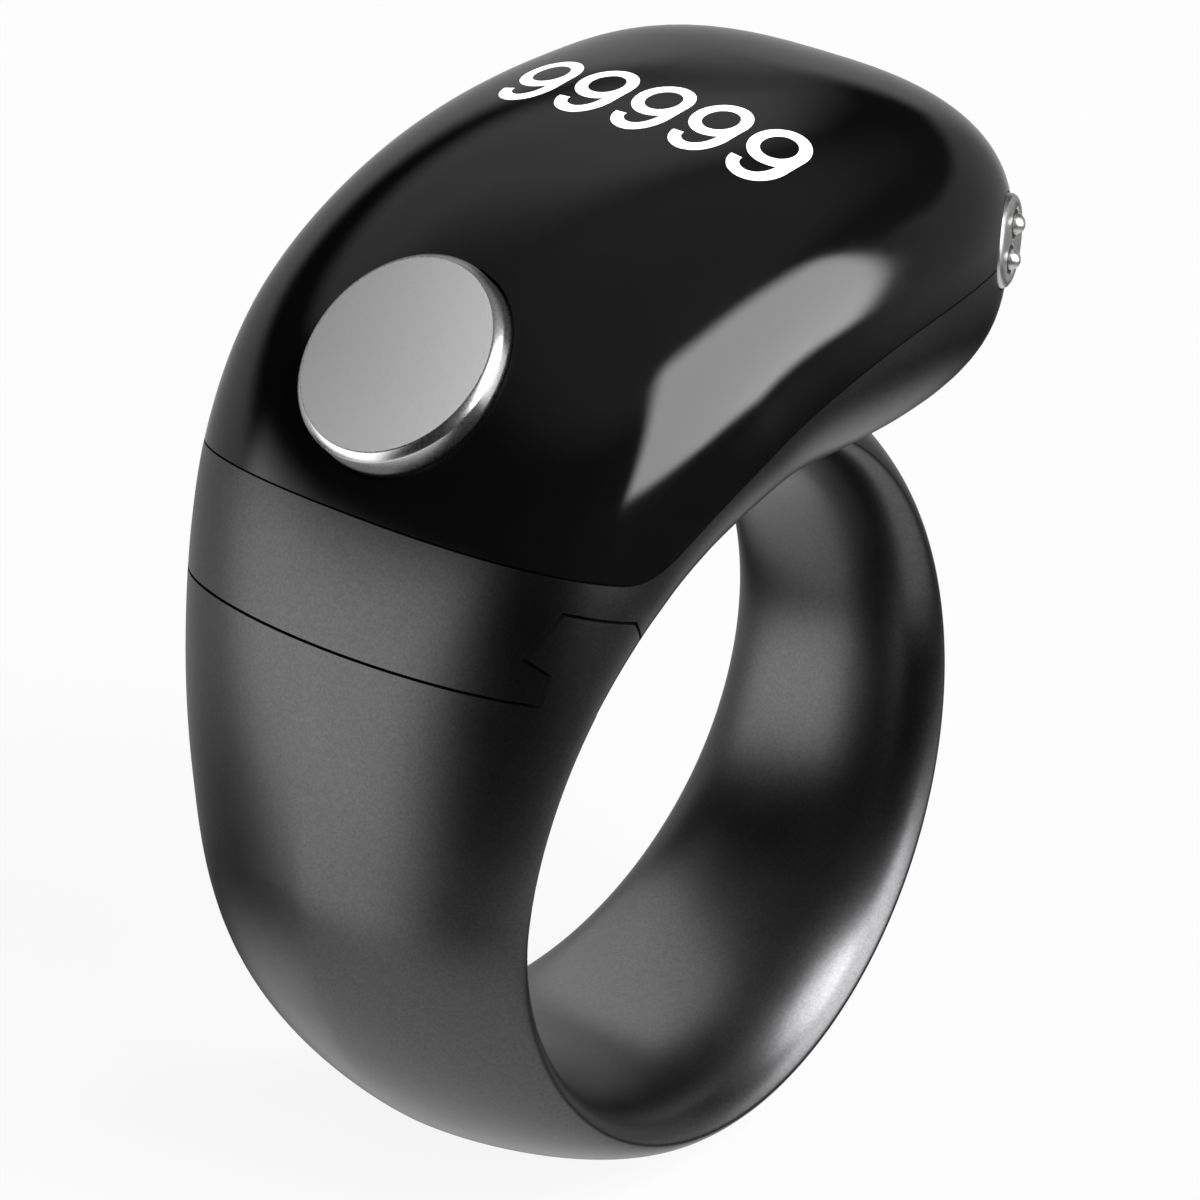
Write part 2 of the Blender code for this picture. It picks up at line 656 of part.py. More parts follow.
def make_housing(colour, button_axis, terminal, groove):
    """The housing under the cap, with the band's slot, the foot, the board's posts and a switch seat."""
    housing = head_skin("head_housing", colour=colour)
    foot_steps = 8
    start = FOOT_ANGLE - BORE_OVERCUT / BORE_RADIUS
    foot_loops = [band_loop(mix(start, FOOT_END_ANGLE, k / foot_steps)) for k in range(foot_steps + 1)]
    combine(housing, as_cutter(add_object("join_foot", *loft(foot_loops))), "UNION")
    line = seam_line(-PART_LINE_GAP / 2)
    outline = line + [(REACH, -REACH), (-REACH, -REACH)]
    below = as_cutter(add_object("cut_below_seam", *prism(outline, -REACH, REACH)))
    combine(housing, below, "INTERSECT")
    combine(housing, cavity("cut_housing_hollow"), "DIFFERENCE")
    post_low = BORE_RADIUS + FLOOR_WALL - CLEARANCE
    post_high = BORE_RADIUS + BOARD_RISE - CLEARANCE
    post_profile = cylinder_profile(POST_RADIUS, 0, post_high - post_low)
    for x in (POST_LEFT_X, POST_RIGHT_X):
        for side in (-1, 1):
            post = as_cutter(add_object("join_post", *turned(post_profile, SMALL_SEGMENTS)))
            post.location = (x, side * (HALF_BOARD - POST_EDGE), post_low)
            combine(housing, post, "UNION")
    seat_top = BUTTON_BOARD_BOTTOM - FIT_CLEARANCE
    seat_box = block(
        (-SEAT_LENGTH / 2, -SEAT_WIDTH / 2, seat_top - SEAT_HEIGHT),
        (SEAT_LENGTH / 2, SEAT_WIDTH / 2, seat_top),
    )
    seat = as_cutter(add_object("join_switch_seat", *seat_box, None, button_axis))
    combine(housing, seat, "UNION")
    combine(housing, band_region("cut_band_slot", PART_LINE_GAP), "DIFFERENCE")
    combine(housing, groove, "DIFFERENCE")
    combine(housing, terminal, "DIFFERENCE")
    return housing


def seal_ring(name, gap, colour=None):
    """A bead that follows the part line inside the housing's wall, or its groove when grown by a gap."""
    outer = [SEAL_INSET - gap] * 3
    inner = [SEAL_INSET + SEAL_BEAD_WIDTH + gap] * 3
    # The skin's ends are slanted to the bead, so they take four times the gap.
    turn = 4 * gap / BORE_RADIUS
    ring = head_skin(name, outer, SEAL_START + turn, SEAL_END - turn, (14, 9), colour)
    core_start = SEAL_START - SEAL_CORE_TURN - turn
    core_end = SEAL_END + SEAL_CORE_TURN + turn
    core = head_skin(name + "_core", inner, core_start, core_end, (14, 9))
    top = seam_line(-PART_LINE_GAP / 2 + gap)
    bottom = seam_line(-PART_LINE_GAP / 2 - SEAL_BEAD_DEPTH - gap)
    strip = as_cutter(add_object(name + "_strip", *prism(top + bottom[::-1], -REACH, REACH)))
    combine(ring, strip, "INTERSECT")
    combine(ring, as_cutter(core), "DIFFERENCE")
    return ring


def make_button(colour, axis):
    top = BUTTON_STAND
    return along_button(
        "count_button",
        [
            (0, STEM_END),
            (STEM_RADIUS, STEM_END),
            (STEM_RADIUS, -BUTTON_SKIRT),
            (BUTTON_RADIUS, -BUTTON_SKIRT),
            (BUTTON_RADIUS, top - BUTTON_CHAMFER),
            (BUTTON_RADIUS - BUTTON_CHAMFER, top),
            (0, top),
        ],
        axis,
        colour,
    )


def make_switch(colours, axis):
    """Button board, tact switch and plunger under the button's stem."""
    half = SWITCH_SIZE / 2
    box = block((-half, -half, SWITCH_BOTTOM), (half, half, SWITCH_TOP))
    body = add_object("switch_body", *box, colours["dark"], axis)
    plunger_low = SWITCH_TOP - PLUNGER_SEAT
    well_floor = plunger_low - BUTTON_TRAVEL - CLEARANCE
    well = cylinder_profile(PLUNGER_RADIUS + FIT_CLEARANCE, well_floor, SWITCH_TOP + CLEARANCE)
    combine(body, as_cutter(along_button("cut_switch_well", well, axis, None, SMALL_SEGMENTS)), "DIFFERENCE")
    plunger = cylinder_profile(PLUNGER_RADIUS, plunger_low, PLUNGER_TOP)
    along_button("switch_plunger", plunger, axis, colours["white"], SMALL_SEGMENTS)
    board = block(
        (-BUTTON_BOARD_LENGTH / 2, -BUTTON_BOARD_WIDTH / 2, BUTTON_BOARD_BOTTOM),
        (BUTTON_BOARD_LENGTH / 2, BUTTON_BOARD_WIDTH / 2, BUTTON_BOARD_TOP),
    )
    add_object("button_board", *board, colours["board"], axis)


def plate(name, outline, low, high, colour):
    """A flat plate from an (x, y) outline between two heights."""
    bottom = [Vector((x, y, low)) for x, y in outline]
    top = [Vector((x, y, high)) for x, y in outline]
    return add_object(name, *loft([bottom, top]), colour)


def ribbon(name, path, width, colour):
    """A thin strip along an (x, z) path, as wide as width along Y."""
    points = [Vector(p) for p in path]
    half = FLEX_THICKNESS / 2
    loops = []
    for k, here in enumerate(points):
        ahead = points[min(k + 1, len(points) - 1)]
        behind = points[max(k - 1, 0)]
        along = (ahead - behind).normalized()
        side = Vector((-along.y, along.x)) * half
        corners = [here - side, here + side]
        loops.append(
            [
                Vector((corners[0].x, -width / 2, corners[0].y)),
                Vector((corners[1].x, -width / 2, corners[1].y)),
                Vector((corners[1].x, width / 2, corners[1].y)),
                Vector((corners[0].x, width / 2, corners[0].y)),
            ]
        )
    return add_object(name, *loft(loops), colour)


def wire(name, path, colour):
    """A round lead along a path of points."""
    data = bpy.data.curves.new(name, "CURVE")
    data.dimensions = "3D"
    data.bevel_depth = LEAD_RADIUS
    data.bevel_resolution = 1
    data.use_fill_caps = True
    line = data.splines.new("POLY")
    line.points.add(len(path) - 1)
    for point, place in zip(line.points, path):
        point.co = (*place, 1)
    data.materials.append(colour)
    item = bpy.data.objects.new(name, data)
    bpy.context.scene.collection.objects.link(item)
    return item


def make_stack(colours):
    """Motor, battery, main board and display, from the floor up."""
    motor_low = BORE_RADIUS + MOTOR_RISE
    motor_profile = cylinder_profile(MOTOR_RADIUS, 0, MOTOR_THICKNESS)
    motor = add_object("vibration_motor", *turned(motor_profile), colours["steel"])
    motor.location = (MOTOR_X, 0, motor_low)
    pad_profile = cylinder_profile(MOTOR_RADIUS - 2 * CLEARANCE, 0, PAD_THICKNESS)
    motor_pad = add_object("motor_pad", *turned(pad_profile), colours["foam"])
    motor_pad.location = (MOTOR_X, 0, motor_low - FIT_CLEARANCE - PAD_THICKNESS)

    board_low = BORE_RADIUS + BOARD_RISE
    board_high = board_low + BOARD_THICKNESS
    battery_high = board_low - 3 * CLEARANCE
    battery_low = battery_high - BATTERY_THICKNESS
    battery_right = BATTERY_LEFT + BATTERY_LENGTH
    half = HALF_BATTERY
    cell = block((BATTERY_LEFT, -half, battery_low), (battery_right, half, battery_high))
    add_object("battery_cell", *cell, colours["foil"])
    pad_high = battery_low - FIT_CLEARANCE
    inset = 5 * CLEARANCE
    pad_corner = (BATTERY_LEFT + inset, inset - half, pad_high - PAD_THICKNESS)
    pad = block(pad_corner, (battery_right - 3 * inset, half - inset, pad_high))
    add_object("battery_pad", *pad, colours["foam"])

    wide = HALF_BOARD
    tip = HALF_BOARD - BOARD_TAPER
    outline = [
        (BOARD_LEFT, -wide), (BOARD_TAPER_X, -wide), (BOARD_RIGHT, -tip),
        (BOARD_RIGHT, tip), (BOARD_TAPER_X, wide), (BOARD_LEFT, wide),
    ]
    plate("main_board", outline, board_low, board_high, colours["board"])

    lead_x = BATTERY_LEFT - 2 * LEAD_RADIUS
    lead_start = battery_high - 3 * LEAD_RADIUS
    for name, side, colour in (("battery_lead_pos", -1, "red"), ("battery_lead_neg", 1, "dark")):
        y = side * LEAD_SPACING / 2
        path = [
            (BATTERY_LEFT - FIT_CLEARANCE, y, lead_start),
            (lead_x + LEAD_RADIUS / 2, y, lead_start),
            (lead_x, y, lead_start + LEAD_RADIUS / 2),
            (lead_x, y, board_low - FIT_CLEARANCE),
        ]
        wire(name, path, colours[colour])

    panel_low = board_high + FIT_CLEARANCE
    panel_high = panel_low + DISPLAY_THICKNESS
    panel_left = DISPLAY_X - DISPLAY_WIDTH / 2
    panel_right = DISPLAY_X + DISPLAY_WIDTH / 2
    panel = block((panel_left, -HALF_DISPLAY, panel_low), (panel_right, HALF_DISPLAY, panel_high))
    add_object("display_panel", *panel, colours["glass"])
    left = panel_left - FIT_CLEARANCE
    side = HALF_DISPLAY + FIT_CLEARANCE
    outer_left = left - FRAME_WALL
    outer_side = side + FRAME_WALL
    frame = [
        (panel_right, -side), (panel_right, -outer_side), (outer_left, -outer_side), (outer_left, outer_side),
        (panel_right, outer_side), (panel_right, side), (left, side), (left, -side),
    ]
    plate("display_frame", frame, panel_low, panel_low + FRAME_HEIGHT, colours["dark"])

    flex_start = panel_low + DISPLAY_THICKNESS / 2
    flex_end = board_high + FIT_CLEARANCE + FLEX_THICKNESS / 2
    path = [(panel_right + FIT_CLEARANCE, flex_start)]
    for k in range(1, 8):
        turn = math.pi / 2 * k / 7
        x = panel_right + DISPLAY_FLEX_BOW * (1 + math.sin(turn))
        path.append((x, mix(flex_end, flex_start, math.cos(turn))))
    path.append((path[-1][0] + DISPLAY_FLEX_BOW, flex_end))
    ribbon("display_flex", path, DISPLAY_FLEX_WIDTH, colours["flex"])

    chip_x = path[-1][0] + 5 * CLEARANCE
    chip_low = board_high + FIT_CLEARANCE
    half_chip = CHIP_SIZE / 2
    chip = block((chip_x, -half_chip, chip_low), (chip_x + CHIP_SIZE, half_chip, chip_low + CHIP_HEIGHT))
    add_object("controller_chip", *chip, colours["dark"])
    small_top = chip_low + SMALL_CHIP_HEIGHT
    side = half_chip + 4 * CLEARANCE
    crystal = block((chip_x, side, chip_low), (chip_x + CRYSTAL_LENGTH, side + CRYSTAL_WIDTH, small_top))
    add_object("crystal", *crystal, colours["steel"])
    antenna = block((chip_x, -side - ANTENNA_WIDTH, chip_low), (chip_x + ANTENNA_LENGTH, -side, small_top))
    add_object("antenna", *antenna, colours["white"])


def make_button_flex(colours, axis_matrix):
    """The strip that joins the button board to the underside of the main board."""
    middle = (BUTTON_BOARD_TOP + BUTTON_BOARD_BOTTOM) / 2
    start = axis_matrix @ Vector((BUTTON_BOARD_LENGTH / 2 + FIT_CLEARANCE, 0, middle))
    bend = axis_matrix @ Vector((BUTTON_BOARD_LENGTH / 2 + 6 * CLEARANCE, 0, middle))
    board_low = BORE_RADIUS + BOARD_RISE
    end = Vector((BOARD_LEFT + 6 * CLEARANCE, board_low - FIT_CLEARANCE - FLEX_THICKNESS / 2))
    over = Vector((bend.x, end.y))
    path = [(start.x, start.z), (bend.x, bend.z)]
    for k in range(1, 6):
        share = k / 5
        low = Vector((bend.x, bend.z)).lerp(over, share)
        path.append(tuple(low.lerp(over.lerp(end, share), share)))
    path.append((end.x + 10 * CLEARANCE, end.y))
    ribbon("button_flex", path, BUTTON_FLEX_WIDTH, colours["flex"])


def make_terminal(colours, axis):
    """The charging disc with two domed pins in insulating sleeves, and the magnet behind it."""
    back = -TERMINAL_THICKNESS
    rim = TERMINAL_RIM
    radius = TERMINAL_RADIUS
    disc_profile = [(0, back), (radius, back), (radius, -rim), (radius - rim, 0), (0, 0)]
    disc = add_object("charging_disc", *turned(disc_profile), colours["chrome"], axis)
    bore = PIN_RADIUS + PIN_GAP
    hole = bore + SLEEVE_WALL + PIN_GAP
    foot = PIN_STAND - PIN_LENGTH
    for number, side in (("1", -1), ("2", 1)):
        reach = side * PIN_SPACING / 2
        place = (reach * math.cos(PIN_ROW_TURN), reach * math.sin(PIN_ROW_TURN), 0)
        cut_skin = turned(cylinder_profile(hole, -REACH / 10, REACH / 10), SMALL_SEGMENTS)
        cut = as_cutter(add_object("cut_pin_hole_" + number, *cut_skin, None, axis))
        sleeve_skin = turned(ring_profile(bore, bore + SLEEVE_WALL, back, 0), SMALL_SEGMENTS)
        sleeve = add_object("pin_sleeve_" + number, *sleeve_skin, colours["dark"], axis)
        dome = [(0, foot), (PIN_RADIUS, foot)]
        for k in range(5):
            turn = math.pi / 2 * k / 5
            dome.append((PIN_RADIUS * math.cos(turn), PIN_STAND * math.sin(turn)))
        dome.append((0, PIN_STAND))
        pin_skin = turned(dome, SMALL_SEGMENTS)
        pin = add_object("charging_pin_" + number, *pin_skin, colours["chrome"], axis)
        for item in (cut, sleeve, pin):
            item.location = place
        combine(disc, cut, "DIFFERENCE")
    magnet_top = foot - FIT_CLEARANCE
    magnet = cylinder_profile(MAGNET_RADIUS, magnet_top - MAGNET_THICKNESS, magnet_top)
    add_object("charging_magnet", *turned(magnet), colours["steel"], axis)


def main():
    clear_scene()
    colours = {
        "shell": material("gunmetal_plastic", (0.06, 0.06, 0.062), 0.38, 0.55),
        "gloss": material("gloss_black", (0.004, 0.004, 0.005), 0.08),
        "silver": material("satin_silver", (0.5, 0.5, 0.5), 0.35, 0.6),
        "chrome": material("bright_contact", (0.75, 0.75, 0.76), 0.15, 1.0),
        "steel": material("steel", (0.45, 0.45, 0.46), 0.3, 1.0),
        "dark": material("black_plastic", (0.01, 0.01, 0.01), 0.5),
        "white": material("white_plastic", (0.7, 0.7, 0.68), 0.5),
        "board": material("board_green", (0.01, 0.09, 0.03), 0.45),
        "glass": material("display_glass", (0.01, 0.01, 0.015), 0.05),
        "flex": material("amber_film", (0.45, 0.16, 0.02), 0.4),
        "foil": material("battery_foil", (0.55, 0.55, 0.57), 0.3, 0.8),
        "foam": material("grey_foam", (0.09, 0.09, 0.09), 0.9),
        "rubber": material("black_rubber", (0.012, 0.012, 0.012), 0.8),
        "red": material("red_lead", (0.5, 0.02, 0.01), 0.5),
    }
    button_axis = empty_at("button_axis", button_matrix())
    terminal_axis = empty_at("terminal_axis", terminal_matrix())
    terminal_hole = cylinder_profile(TERMINAL_RADIUS + FIT_CLEARANCE, -2 * SIDE_WALL, REACH / 10)
    terminal = as_cutter(add_object("cut_terminal_hole", *turned(terminal_hole), None, terminal_axis))
    groove = as_cutter(seal_ring("cut_seal_groove", FIT_CLEARANCE))

    make_band(colours["shell"])
    make_cap(colours["gloss"], button_axis, terminal)
    make_housing(colours["shell"], button_axis, terminal, groove)
    seal = seal_ring("cap_seal", 0.0, colours["rubber"])
    combine(seal, terminal, "DIFFERENCE")

    make_button(colours["silver"], button_axis)
    hole = STEM_RADIUS + FIT_CLEARANCE
    button_seal = ring_profile(hole, hole + SEAL_WIDTH, SEAL_TOP - SEAL_THICKNESS, SEAL_TOP)
    along_button("button_seal", button_seal, button_axis, colours["rubber"])
    clip = ring_profile(hole, hole + CLIP_WIDTH, CLIP_TOP - CLIP_THICKNESS, CLIP_TOP)
    along_button("button_clip", clip, button_axis, colours["steel"])
    make_switch(colours, button_axis)
    make_button_flex(colours, button_matrix())
    make_stack(colours)
    make_terminal(colours, terminal_axis)
    bpy.context.view_layer.update()


main()
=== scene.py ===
import math

import bmesh
import bpy
from mathutils import Matrix, Vector
from mathutils.bvhtree import BVHTree


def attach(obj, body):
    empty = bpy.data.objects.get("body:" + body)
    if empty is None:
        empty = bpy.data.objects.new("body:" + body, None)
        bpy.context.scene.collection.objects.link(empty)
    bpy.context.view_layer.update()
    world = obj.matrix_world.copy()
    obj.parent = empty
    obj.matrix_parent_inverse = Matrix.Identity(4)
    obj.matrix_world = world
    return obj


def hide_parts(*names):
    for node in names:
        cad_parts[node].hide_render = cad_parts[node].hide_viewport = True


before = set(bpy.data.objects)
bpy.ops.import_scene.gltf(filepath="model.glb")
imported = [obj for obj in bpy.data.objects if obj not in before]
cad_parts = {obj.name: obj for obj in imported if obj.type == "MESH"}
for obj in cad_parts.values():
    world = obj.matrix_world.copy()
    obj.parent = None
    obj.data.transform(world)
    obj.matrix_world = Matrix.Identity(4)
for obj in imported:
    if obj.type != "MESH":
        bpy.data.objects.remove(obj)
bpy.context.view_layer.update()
MM = 0.001

# Camera. A long lens from the front left, a little above the finger, as the product shot has it. The
# two vectors and the aim were solved from the outline in the photograph.
camera_data = bpy.data.cameras.new("camera")
camera_data.lens = 177.3
camera_data.sensor_width = 36
camera_data.clip_start = 0.005
camera_data.clip_end = 5
camera = bpy.data.objects.new("camera", camera_data)
bpy.context.scene.collection.objects.link(camera)
camera_right = Vector((0.66730, -0.74480, 0))
camera_up = Vector((0.31640, 0.28350, 0.90530))
camera_back = camera_right.cross(camera_up)
camera.matrix_world = Matrix((camera_right, camera_up, camera_back)).transposed().to_4x4()
camera_aim = Vector((1.46, 1.66, 3.38))
camera.location = (camera_aim + 177.5 * camera_back) * MM
bpy.context.scene.camera = camera
bpy.context.scene.view_settings.view_transform = "Standard"

# Studio. A white table and background, and a ring of light cards far off: one long soft box over the
# near side, which the cap and the band's inner edge reflect, a tall panel on the left, a dim wall
# behind and dim light from the right and above. The camera's side stays dark, as in the photograph.


def linear(hex_colour):
    """The linear colour, with alpha, of an sRGB hex value."""
    parts = [int(hex_colour[i : i + 2], 16) / 255 for i in (1, 3, 5)]
    return [c / 12.92 if c <= 0.04045 else ((c + 0.055) / 1.055) ** 2.4 for c in parts] + [1.0]


def add_node(tree, kind, settings=(), inputs=(), links=()):
    """Adds a node, sets it up, and links its inputs to other nodes' outputs."""
    node = tree.nodes.new(kind)
    for name, value in dict(settings).items():
        setattr(node, name, value)
    for name, value in dict(inputs).items():
        node.inputs[name].default_value = value
    for name, source in dict(links).items():
        tree.links.new(source, node.inputs[name])
    return node


def new_material(name):
    """A material with an empty node tree, and its tree."""
    made = bpy.data.materials.new(name)
    made.use_nodes = True
    made.node_tree.nodes.clear()
    return made, made.node_tree


def add_object(name, form):
    """An object at the origin from a bmesh, smooth, with edges sharper than 30 degrees kept crisp."""
    mesh = bpy.data.meshes.new(name)
    form.to_mesh(mesh)
    form.free()
    mesh.shade_smooth()
    mesh.set_sharp_from_angle(angle=math.radians(30))
    item = bpy.data.objects.new(name, mesh)
    bpy.context.scene.collection.objects.link(item)
    return item


def give_material(item, *finishes):
    """Replaces the materials of an object."""
    item.data.materials.clear()
    for finish in finishes:
        item.data.materials.append(finish)


def towards(azimuth, elevation):
    """The direction at two angles in degrees, from +X towards +Y and then up."""
    turn, rise = math.radians(azimuth), math.radians(elevation)
    return Vector((math.cos(rise) * math.cos(turn), math.cos(rise) * math.sin(turn), math.sin(rise)))


def light_card(tree, direction, corners, blurs, strength):
    """A card that fills the directions between its corners, each edge blurred over some degrees."""
    places = [towards(*corner) for corner in corners]
    middle = sum(places, Vector((0, 0, 0)))
    level = strength
    for here, ahead, blur in zip(places, places[1:] + places[:1], blurs):
        inward = here.cross(ahead).normalized()
        inward *= math.copysign(1, inward.dot(middle))
        settings = {"operation": "DOT_PRODUCT"}
        reach = add_node(tree, "ShaderNodeVectorMath", settings, {1: inward}, {0: direction})
        fade = add_node(
            tree,
            "ShaderNodeMapRange",
            {"interpolation_type": "SMOOTHSTEP"},
            {"From Min": -math.sin(math.radians(blur / 2)), "From Max": math.sin(math.radians(blur / 2))},
            {"Value": reach.outputs["Value"]},
        )
        product = add_node(
            tree, "ShaderNodeMath", {"operation": "MULTIPLY"}, links={0: fade.outputs["Result"]}
        )
        if level is strength:
            product.inputs[1].default_value = strength
        else:
            tree.links.new(level, product.inputs[1])
        level = product.outputs[0]
    return level


world = bpy.data.worlds.new("studio_room")
bpy.context.scene.world = world
world.use_nodes = True
room = world.node_tree
room.nodes.clear()
aim = add_node(room, "ShaderNodeTexCoord").outputs["Generated"]
cards = [
    light_card(room, aim, [(-118, 62), (-50, 38), (-46, -15), (-112, 14)], (10, 3, 4, 9), 6.6),
    light_card(room, aim, [(116, 10), (172, 12), (172, -36), (116, -20)], (12, 14, 10, 10), 1.9),
    light_card(room, aim, [(18, 20), (116, 6), (116, -19), (18, -21)], (10, 12, 10, 12), 0.45),
    light_card(room, aim, [(-44, 22), (18, 22), (18, -22), (-44, -22)], (10, 10, 10, 10), 0.3),
    light_card(room, aim, [(30, 42), (115, 40), (110, 29), (38, 24)], (10, 10, 8, 10), 0.4),
]
height = add_node(room, "ShaderNodeSeparateXYZ", links={0: aim})
ceiling = add_node(
    room,
    "ShaderNodeMapRange",
    {"interpolation_type": "SMOOTHSTEP"},
    {"From Min": math.sin(math.radians(38)), "From Max": math.sin(math.radians(62)), "To Max": 0.2},
    {"Value": height.outputs["Z"]},
)
cards.append(ceiling.outputs["Result"])
table_light = add_node(
    room,
    "ShaderNodeMapRange",
    {"interpolation_type": "SMOOTHSTEP"},
    {"From Min": -math.sin(math.radians(32)), "From Max": -math.sin(math.radians(45)), "To Max": 0.86},
    {"Value": height.outputs["Z"]},
)
level = table_light.outputs["Result"]
for card in cards:
    level = add_node(room, "ShaderNodeMath", {"operation": "ADD"}, links={0: level, 1: card}).outputs[0]
light_path = add_node(room, "ShaderNodeLightPath")
seen = add_node(
    room,
    "ShaderNodeMath",
    {"operation": "MAXIMUM"},
    links={0: light_path.outputs["Is Camera Ray"], 1: light_path.outputs["Is Transmission Ray"]},
)
room_light = add_node(
    room, "ShaderNodeBackground", inputs={"Color": linear("#FFFFFF")}, links={"Strength": level}
)
room_white = add_node(room, "ShaderNodeBackground", inputs={"Color": linear("#FFFFFF"), "Strength": 1.0})
room_mix = add_node(
    room,
    "ShaderNodeMixShader",
    links={0: seen.outputs[0], 1: room_light.outputs[0], 2: room_white.outputs[0]},
)
add_node(room, "ShaderNodeOutputWorld", links={"Surface": room_mix.outputs[0]})

floor_height = -12.5 * MM
form = bmesh.new()
at_floor = Matrix.Translation((0, 0, floor_height))
bmesh.ops.create_grid(form, x_segments=1, y_segments=1, size=1.0, matrix=at_floor)
floor = add_object("floor", form)
floor_material, tree = new_material("white_paper")
path = add_node(tree, "ShaderNodeLightPath")
paper = add_node(tree, "ShaderNodeBsdfDiffuse", inputs={"Color": linear("#F4F4F4")})
glow = add_node(tree, "ShaderNodeEmission", inputs={"Color": linear("#FFFFFF"), "Strength": 1.0})
share = add_node(
    tree, "ShaderNodeMath", {"operation": "MULTIPLY"}, {1: 0.9}, {0: path.outputs["Is Camera Ray"]}
)
paper_mix = add_node(
    tree, "ShaderNodeMixShader", links={0: share.outputs[0], 1: paper.outputs[0], 2: glow.outputs[0]}
)
add_node(tree, "ShaderNodeOutputMaterial", links={"Surface": paper_mix.outputs[0]})
give_material(floor, floor_material)
# The room already shows a white table to reflections, at the brightness that the photograph has.
floor.visible_glossy = False

# Cap. One polished black moulding over the display and the button. It is drawn as sections from the
# left, where the head rises out of the band, over the crown and round the nose, then cut along the
# part line and hollowed. Its lower edge meets the housing with a hairline gap.

BORE = 9.5
BAND_LEFT, BAND_BOTTOM, BAND_RIGHT = 3.75, 2.93, 2.45
EDGE_LEFT, EDGE_BOTTOM, EDGE_RIGHT = 1.2, 1.59, 1.46
WIDE_LEFT, WIDE_BOTTOM, WIDE_RIGHT = 13.0, 11.35, 8.1
WAIST, WAIST_TURN = 1.0, math.radians(15)
CROWN_X, HEAD_TOP, NOSE_X, NOSE_Z = 5.9, 19.8, 13.2, 12.1
HALF_HEAD, HALF_SHOULDER, HALF_JOINT = 8.65, 8.55, 8.1
CAP_WALL, SIDE_WALL, FLOOR_WALL = 1.3, 1.2, 1.3
HALF_PART_GAP, REACH = 0.03, 30
SECTION_POINTS = 96


def blend(a, b, share):
    return a + (b - a) * share


def ease(value):
    value = min(max(value, 0.0), 1.0)
    return value * value * (3 - 2 * value)


def rounded(value, power):
    return math.copysign(abs(value) ** (2 / power), value)


def section_place(turn, inner, outer, half_width, edge, crown_power, inner_power):
    """The point at a turn round a section that stands on inner and reaches outer, in millimetres."""
    height = (outer - inner).length
    up = (outer - inner).normalized()
    level = edge * height
    power = crown_power if math.sin(turn) >= 0 else inner_power
    across = half_width * rounded(math.cos(turn), power)
    rise = height - level if math.sin(turn) >= 0 else level
    along = level + rise * rounded(math.sin(turn), power)
    return Vector((inner.x + up.x * along, across, inner.y + up.y * along)) * MM


def skin(sections):
    """A closed bmesh through sections, each a function from a turn to a place."""
    form = bmesh.new()
    before = None
    last = len(sections) - 1
    for number, place in enumerate(sections):
        closed = number in (0, last)
        ring = bmesh.ops.create_circle(form, cap_ends=closed, radius=1.0, segments=SECTION_POINTS)["verts"]
        for vert in ring:
            vert.co = place(math.atan2(vert.co.y, vert.co.x))
        around = list({edge for vert in ring for edge in vert.link_edges})
        if before:
            bmesh.ops.bridge_loops(form, edges=before + around)
        before = around
    bmesh.ops.recalc_face_normals(form, faces=form.faces)
    return form


def crown_point(angle):
    if angle >= math.pi / 2:
        x = CROWN_X - (CROWN_X + BORE + BAND_LEFT) * abs(math.cos(angle)) ** (2 / 2.4)
        return Vector((x, HEAD_TOP * math.sin(angle) ** (2 / 2.4)))
    x = blend(CROWN_X, NOSE_X, math.cos(angle) ** (2 / 2.3))
    return Vector((x, blend(NOSE_Z, HEAD_TOP, math.sin(angle) ** (2 / 2.3))))


def under_point(angle):
    if angle >= math.pi / 2:
        share = (angle - math.pi / 2) / (math.pi / 2)
        turn = math.pi / 2 * (1 + share**2.6)
        return Vector((math.cos(turn), math.sin(turn))) * BORE
    x = NOSE_X * math.cos(angle) ** (2 / 2.65)
    return Vector((x, blend(NOSE_Z, BORE, math.sin(angle) ** (2 / 2.65))))


def round_finger(turn, left, bottom, right):
    """A size that changes smoothly round the finger, from its values at left, bottom and right."""
    middle = (left + right) / 2
    return middle + (right - left) / 2 * math.cos(turn) + (middle - bottom) * math.sin(turn)


def band_measures(turn):
    """The band's wall, half width and the share of the wall where it is widest, at a turn."""
    wall = round_finger(turn, BAND_LEFT, BAND_BOTTOM, BAND_RIGHT)
    down = (turn - math.pi) % (2 * math.pi)
    waist = WAIST * (1 - math.exp(-down / WAIST_TURN)) * max(math.cos(down / 2), 0.0) ** 2
    half = (round_finger(turn, WIDE_LEFT, WIDE_BOTTOM, WIDE_RIGHT) - waist) / 2
    return wall, half, round_finger(turn, EDGE_LEFT, EDGE_BOTTOM, EDGE_RIGHT) / wall


def head_half(angle):
    if angle < math.pi / 2:
        share = (crown_point(angle).x - CROWN_X) / (NOSE_X - CROWN_X)
        return HALF_HEAD * max(1 - share**2.2, 0.0) ** (1 / 2.2)
    degrees = math.degrees(angle)
    if degrees >= 150:
        share = (180 - degrees) / 30
        return blend(band_measures(math.pi)[1], HALF_JOINT, share * (1.4 - 0.4 * share))
    if degrees >= 120:
        return blend(HALF_JOINT, HALF_SHOULDER, math.sin((150 - degrees) / 30 * math.pi / 2))
    return blend(HALF_SHOULDER, HALF_HEAD, ease((120 - degrees) / 30))


